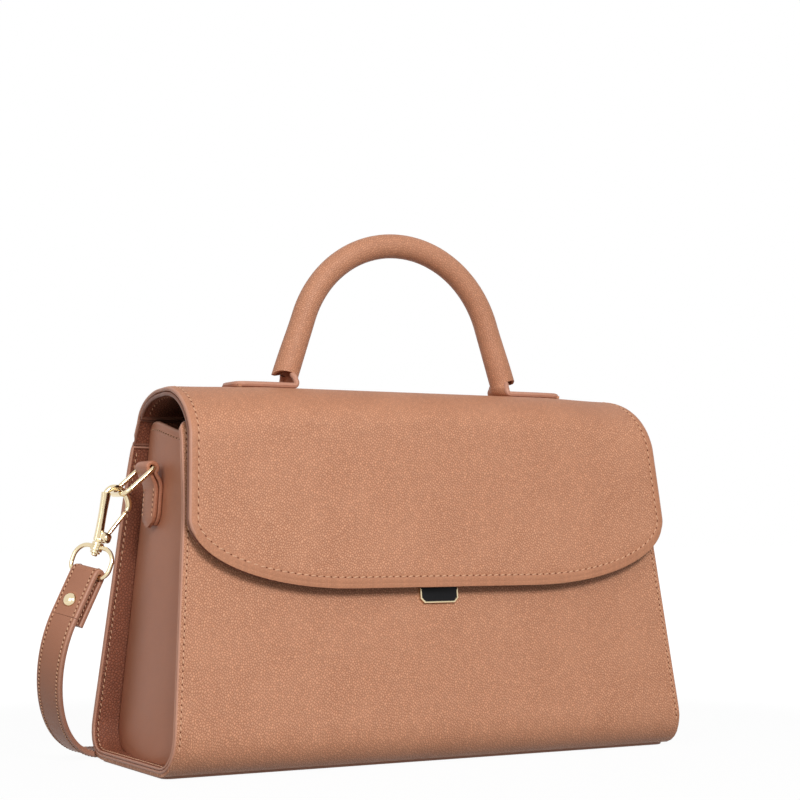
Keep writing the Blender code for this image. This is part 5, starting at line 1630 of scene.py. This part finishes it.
def strap_faces(work, stations):
    """A length of strap: its body, its smooth face, its pebbled back and both seams."""
    faces = work.band(stations, rounded_box(STRAP_WIDTH, STRAP, STRAP_CORNER, 4), EDGE)
    front, back = work.number(STRAP_FACE_LEATHER), work.number(WING)
    corner = STRAP_CORNER * pi / 2
    flat, edge = STRAP_WIDTH - 2 * STRAP_CORNER, STRAP - 2 * STRAP_CORNER
    back_from = 3 * corner + flat + edge
    for face in faces:
        spots = [loop[work.cut].uv.x for loop in face.loops]
        middle = sum(spots) / len(spots)
        if corner < middle < corner + flat:
            face.material_index = front
        elif back_from < middle < back_from + flat:
            face.material_index = back
        if face.material_index in (front, back):
            for vert in face.verts:
                vert[work.grain] = 1.0
    bmesh.ops.recalc_face_normals(work.mesh, faces=faces)
    for way in (-1, 1):
        for side in (1, -1):
            out = way * (STRAP_WIDTH / 2 - STRAP_SEAM_IN)
            points = [centre + width * out + face * (side * STRAP / 2) for centre, width, face in stations]
            work.stitches(points, [face * side for _, _, face in stations], STRAP_PITCH)


def loop_stations():
    """The strap's end, folded over the ring: from the short back layer to the long front one."""
    back, front = RING_BOTTOM - STRAP_FACE * FOLD_MID, RING_BOTTOM + STRAP_FACE * FOLD_MID
    shares = (0.2, 0.4, 0.6, 0.8, 1)
    stations = [(back + STRAP_DOWN * (LOOP_BACK_END * share), RING_B, -STRAP_FACE)
                for share in reversed(shares)]
    for i in range(17):
        angle = pi * i / 16
        way = STRAP_FACE * -cos(angle) - STRAP_DOWN * sin(angle)
        stations.append((RING_BOTTOM + way * FOLD_MID, RING_B, way))
    return stations + [(front + STRAP_DOWN * (LOOP_END * share), RING_B, STRAP_FACE) for share in shares]


def bezier(points, share):
    """A point of a cubic curve."""
    a, b, c, d = points
    rest = 1 - share
    return a * rest ** 3 + b * (3 * rest ** 2 * share) + c * (3 * rest * share ** 2) + d * share ** 3


def square_to(width, run):
    """A width way, made square to the way that a strip runs."""
    run = run.normalized()
    return (width - run * width.dot(run)).normalized()


FLOOR_Z = STRAP / 2 + FLOOR_RISE
LAND = Vector((-FLOOR_OUT, FLOOR_BACK, FLOOR_Z + STRAP_WIDTH / 2 * sin(FLOOR_TILT)))
LAND_RUN = Vector((cos(FLOOR_TURN), sin(FLOOR_TURN), 0))
LAND_SIDE = Vector((sin(FLOOR_TURN), -cos(FLOOR_TURN), 0))
LAND_WIDTH = LAND_SIDE * cos(FLOOR_TILT) - Vector((0, 0, sin(FLOOR_TILT)))


def drop_stations():
    """The hanging stretch of strap, from the loop to the floor."""
    start = RING_BOTTOM + STRAP_FACE * FOLD_MID + STRAP_DOWN * (LOOP_END + GROOVE)
    points = (start, start + STRAP_DOWN * DROP_PULL, LAND - LAND_RUN * FLOOR_PULL, LAND)
    stations = []
    for i in range(DROP_STEPS + 1):
        share = i / DROP_STEPS
        ahead = bezier(points, min(1, share + 0.01)) - bezier(points, max(0, share - 0.01))
        ahead.normalize()
        width = square_to(RING_B.lerp(LAND_WIDTH, share), ahead)
        stations.append((bezier(points, share), width, ahead.cross(width)))
    return stations


def strap_sides():
    """Loops, drops and rivets on both sides."""
    work = Work()
    strap_faces(work, loop_stations())
    both_sides(work, "strap_end", "hang", "strap_loop", "strap_leather")

    outer = FOLD_MID + STRAP / 2
    spot = RING_BOTTOM + STRAP_DOWN * RIVET_DOWN
    matrix = axes(spot, RING_B, -STRAP_DOWN, STRAP_FACE)
    seat = outer + 0.05 * MM
    dome = [(RIVET_RADIUS * sin(radians(9 * i)), seat + RIVET_DOME * cos(radians(9 * i)))
            for i in range(11)]
    profile = dome + [(RIVET_RADIUS * 0.94, seat - 0.05 * MM), (1.1 * MM, seat), (1.1 * MM, -seat),
                      (RIVET_RADIUS, -seat), (RIVET_RADIUS, -seat - 0.4 * MM),
                      (RIVET_RADIUS * 0.9, -seat - 0.7 * MM), (0, -seat - 0.75 * MM)]
    work = Work()
    work.turned(profile, matrix, GOLD)
    both_sides(work, "strap_stud", "hang", "strap_rivet", "pale_gold")

    work = Work()
    strap_faces(work, drop_stations())
    pair = both_sides(work, "strap_hanging", None, "strap_drop", "strap_leather")
    top = drop_stations()[0][0]
    for made, side, way in zip(pair, ("left", "right"), (1, -1)):
        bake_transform(made)


def floor_y(x):
    """Y of the strap's middle on the floor, from where it lands to where it lies behind the bag."""
    share = min(1, max(0, (FLOOR_OUT - abs(x)) / FLOOR_DRIFT))
    start = tan(FLOOR_TURN) * FLOOR_DRIFT
    return FLOOR_BACK + start * share * (1 - share) ** 2 + (FOLD_BACK_AT - FLOOR_BACK) * ease(share)


def fold_turn(end, side, low):
    """Half a turn up to the next layer, at one end of the folded strap."""
    return [(end + side * FOLD_RADIUS * cos(angle), low + FOLD_RADIUS * (1 + sin(angle)))
            for angle in (radians(-55 + 29 * i) for i in range(6))]


def fold_slope(end, side, high, low):
    """The way down from a turn to the layer that it leads into."""
    return [(end - side * FOLD_SLOPE * share, low + (high - low) * (0.5 + 0.5 * cos(pi * share)))
            for share in (0.25, 0.5, 0.75, 1)]


def strap_long():
    """Rest of the strap, folded flat behind the bag."""
    low = FLOOR_Z
    mid, high = low + FOLD_LAYER, low + 2 * FOLD_LAYER
    top = low + 2 * FOLD_RADIUS
    start = LAND + LAND_RUN * (2 * TOUCH)
    ends = start.x + FOLD_SLOPE, -FOLD_LEFT + FOLD_SLOPE, FOLD_RIGHT - FOLD_SLOPE
    places = [(ends[0] - FOLD_SLOPE / 2, low), (ends[0], low), (ends[1], low), (0, low), (ends[2], low),
              (FOLD_RIGHT - FOLD_RADIUS, low)]
    first = [Vector((x, floor_y(x), z)) for x, z in places]
    places = fold_turn(FOLD_RIGHT, 1, low) + fold_slope(FOLD_RIGHT, 1, top, mid)
    places += [(0, mid), (ends[1], mid), (-FOLD_LEFT + FOLD_RADIUS, mid)]
    places += fold_turn(-FOLD_LEFT, -1, mid) + fold_slope(-FOLD_LEFT, -1, top + FOLD_LAYER, high)
    places += [(0, high)] + fold_slope(FOLD_RIGHT, 1, top + FOLD_LAYER, high)[::-1]
    folds = [Vector((x, FOLD_BACK_AT, z)) for x, z in places]
    places = [(FOLD_RIGHT + FOLD_RADIUS / 4, top + FOLD_LAYER)]
    places += fold_slope(FOLD_RIGHT + FOLD_RADIUS / 2, -1.5, top + FOLD_LAYER, low)
    knots = [start] + first + folds + [Vector((x, floor_y(x), z)) for x, z in places]
    end = Vector((-start.x, start.y, start.z))
    knots += [end + Vector((-LAND_RUN.x, LAND_RUN.y, 0)) * FOLD_RADIUS, end]
    points = smooth_path(knots, 5)
    flat = Vector((0, -1, 0))
    end_width = Vector((-LAND_WIDTH.x, LAND_WIDTH.y, LAND_WIDTH.z))
    stations = []
    for i, point in enumerate(points):
        ahead = heading(points, i)
        last = len(points) - 1 - i
        near_width = LAND_WIDTH if i < last else end_width
        width = square_to(near_width.lerp(flat, min(1, min(i, last) / FLATTEN_OVER)), ahead)
        stations.append((point, width, ahead.cross(width)))
    work = Work()
    strap_faces(work, stations)
    work.done("strap_folded", "bag", ("strap_long",), "strap_leather")


def carried_nodes():
    """Better finishes for the solids that stay."""
    kept = {"base_board": BOARD, "catch_magnet": STEEL, "flap_keeper": STEEL, "handle_core": ROPE,
            "gate_spring_left": STEEL, "gate_spring_right": STEEL}
    for name, finish in kept.items():
        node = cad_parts[name]
        node.data.materials.clear()
        node.data.materials.append(finish)
        if name == "handle_core":
            node.data.shade_smooth()


# Stage
def lamp(name, place, size, watts):
    """A rectangular lamp that faces the bag."""
    data = bpy.data.lights.new(name, "AREA")
    data.shape = "RECTANGLE"
    data.size, data.size_y = size
    data.energy = watts
    made = bpy.data.objects.new(name, data)
    bpy.context.scene.collection.objects.link(made)
    made.location = place
    made.rotation_euler = (Vector(AIM) - Vector(place)).to_track_quat("-Z", "Y").to_euler()


def seen_directly(tree):
    """1 for what the camera, a reflection or glass sees of the background."""
    path = tree.nodes.new("ShaderNodeLightPath")
    total = path.outputs["Is Camera Ray"]
    for ray in ("Is Glossy Ray", "Is Transmission Ray"):
        both = tree.nodes.new("ShaderNodeMath")
        both.operation = "ADD"
        both.use_clamp = True
        tree.links.new(total, both.inputs[0])
        tree.links.new(path.outputs[ray], both.inputs[1])
        total = both.outputs[0]
    return total


def stage():
    """Pale floor that keeps a soft shadow, white surroundings and studio light."""
    world = bpy.data.worlds.new("surroundings")
    world.use_nodes = True
    bpy.context.scene.world = world
    tree = world.node_tree
    ambient = tree.nodes["Background"]
    ambient.inputs["Color"].default_value = (1, 1, 1, 1)
    ambient.inputs["Strength"].default_value = AMBIENT
    white = tree.nodes.new("ShaderNodeBackground")
    white.inputs["Color"].default_value = (1, 1, 1, 1)
    blend = tree.nodes.new("ShaderNodeMixShader")
    tree.links.new(seen_directly(tree), blend.inputs[0])
    tree.links.new(ambient.outputs[0], blend.inputs[1])
    tree.links.new(white.outputs[0], blend.inputs[2])
    tree.links.new(blend.outputs[0], tree.nodes["World Output"].inputs["Surface"])

    work = bmesh.new()
    bmesh.ops.create_grid(work, x_segments=4, y_segments=4, size=FLOOR_HALF)
    mesh = bpy.data.meshes.new("floor")
    work.to_mesh(mesh)
    work.free()
    floor = bpy.data.objects.new("floor", mesh)
    bpy.context.scene.collection.objects.link(floor)
    made = Finish("floor_white", base_color=(FLOOR_GREY,) * 3, roughness=0.9, specular_ior_level=0.0)
    glow = made.node("Emission", {}, {"Color": (1.0, 1.0, 1.0), "Strength": FLOOR_WHITE})
    away = made.node("VectorMath", {"operation": "LENGTH"}, {0: made.place()}, 1)
    away = away.stepped(GLOW_FROM, GLOW_WHOLE)
    share = away * (1 - FLOOR_GLOW) + FLOOR_GLOW
    lit = made.node("MixShader", {}, {0: Channel(made, seen_directly(made.tree)) * share,
                                      1: Channel(made, made.shader.outputs[0]), 2: glow})
    made.tree.links.new(lit.socket, made.tree.nodes["Material Output"].inputs["Surface"])
    mesh.materials.append(made.material)

    lamp("key", KEY_PLACE, KEY_SIZE, KEY_WATTS)
    lamp("side", SIDE_PLACE, SIDE_SIZE, SIDE_WATTS)
    bpy.context.scene.view_settings.view_transform = "Standard"


def photograph_camera():
    """The camera that the photograph was solved for."""
    data = bpy.data.cameras.new("camera")
    data.sensor_width = SENSOR
    data.lens = SENSOR * FOCAL_PIXELS / PHOTO_SIZE
    data.shift_y = (HORIZON_PIXEL - PHOTO_SIZE / 2) / PHOTO_SIZE
    data.clip_start = 0.05
    made = bpy.data.objects.new("camera", data)
    made.location = CAMERA_PLACE
    made.rotation_euler = (pi / 2, 0, -CAMERA_TURN)
    bpy.context.scene.collection.objects.link(made)
    bpy.context.scene.camera = made


photograph_camera()
stage()
body_wrap()
gussets()
lining()
sole()
flap()
handle()
catch()
side_tab()
d_ring()
hook_body()
gate()
strap_ring()
strap_sides()
strap_long()
carried_nodes()
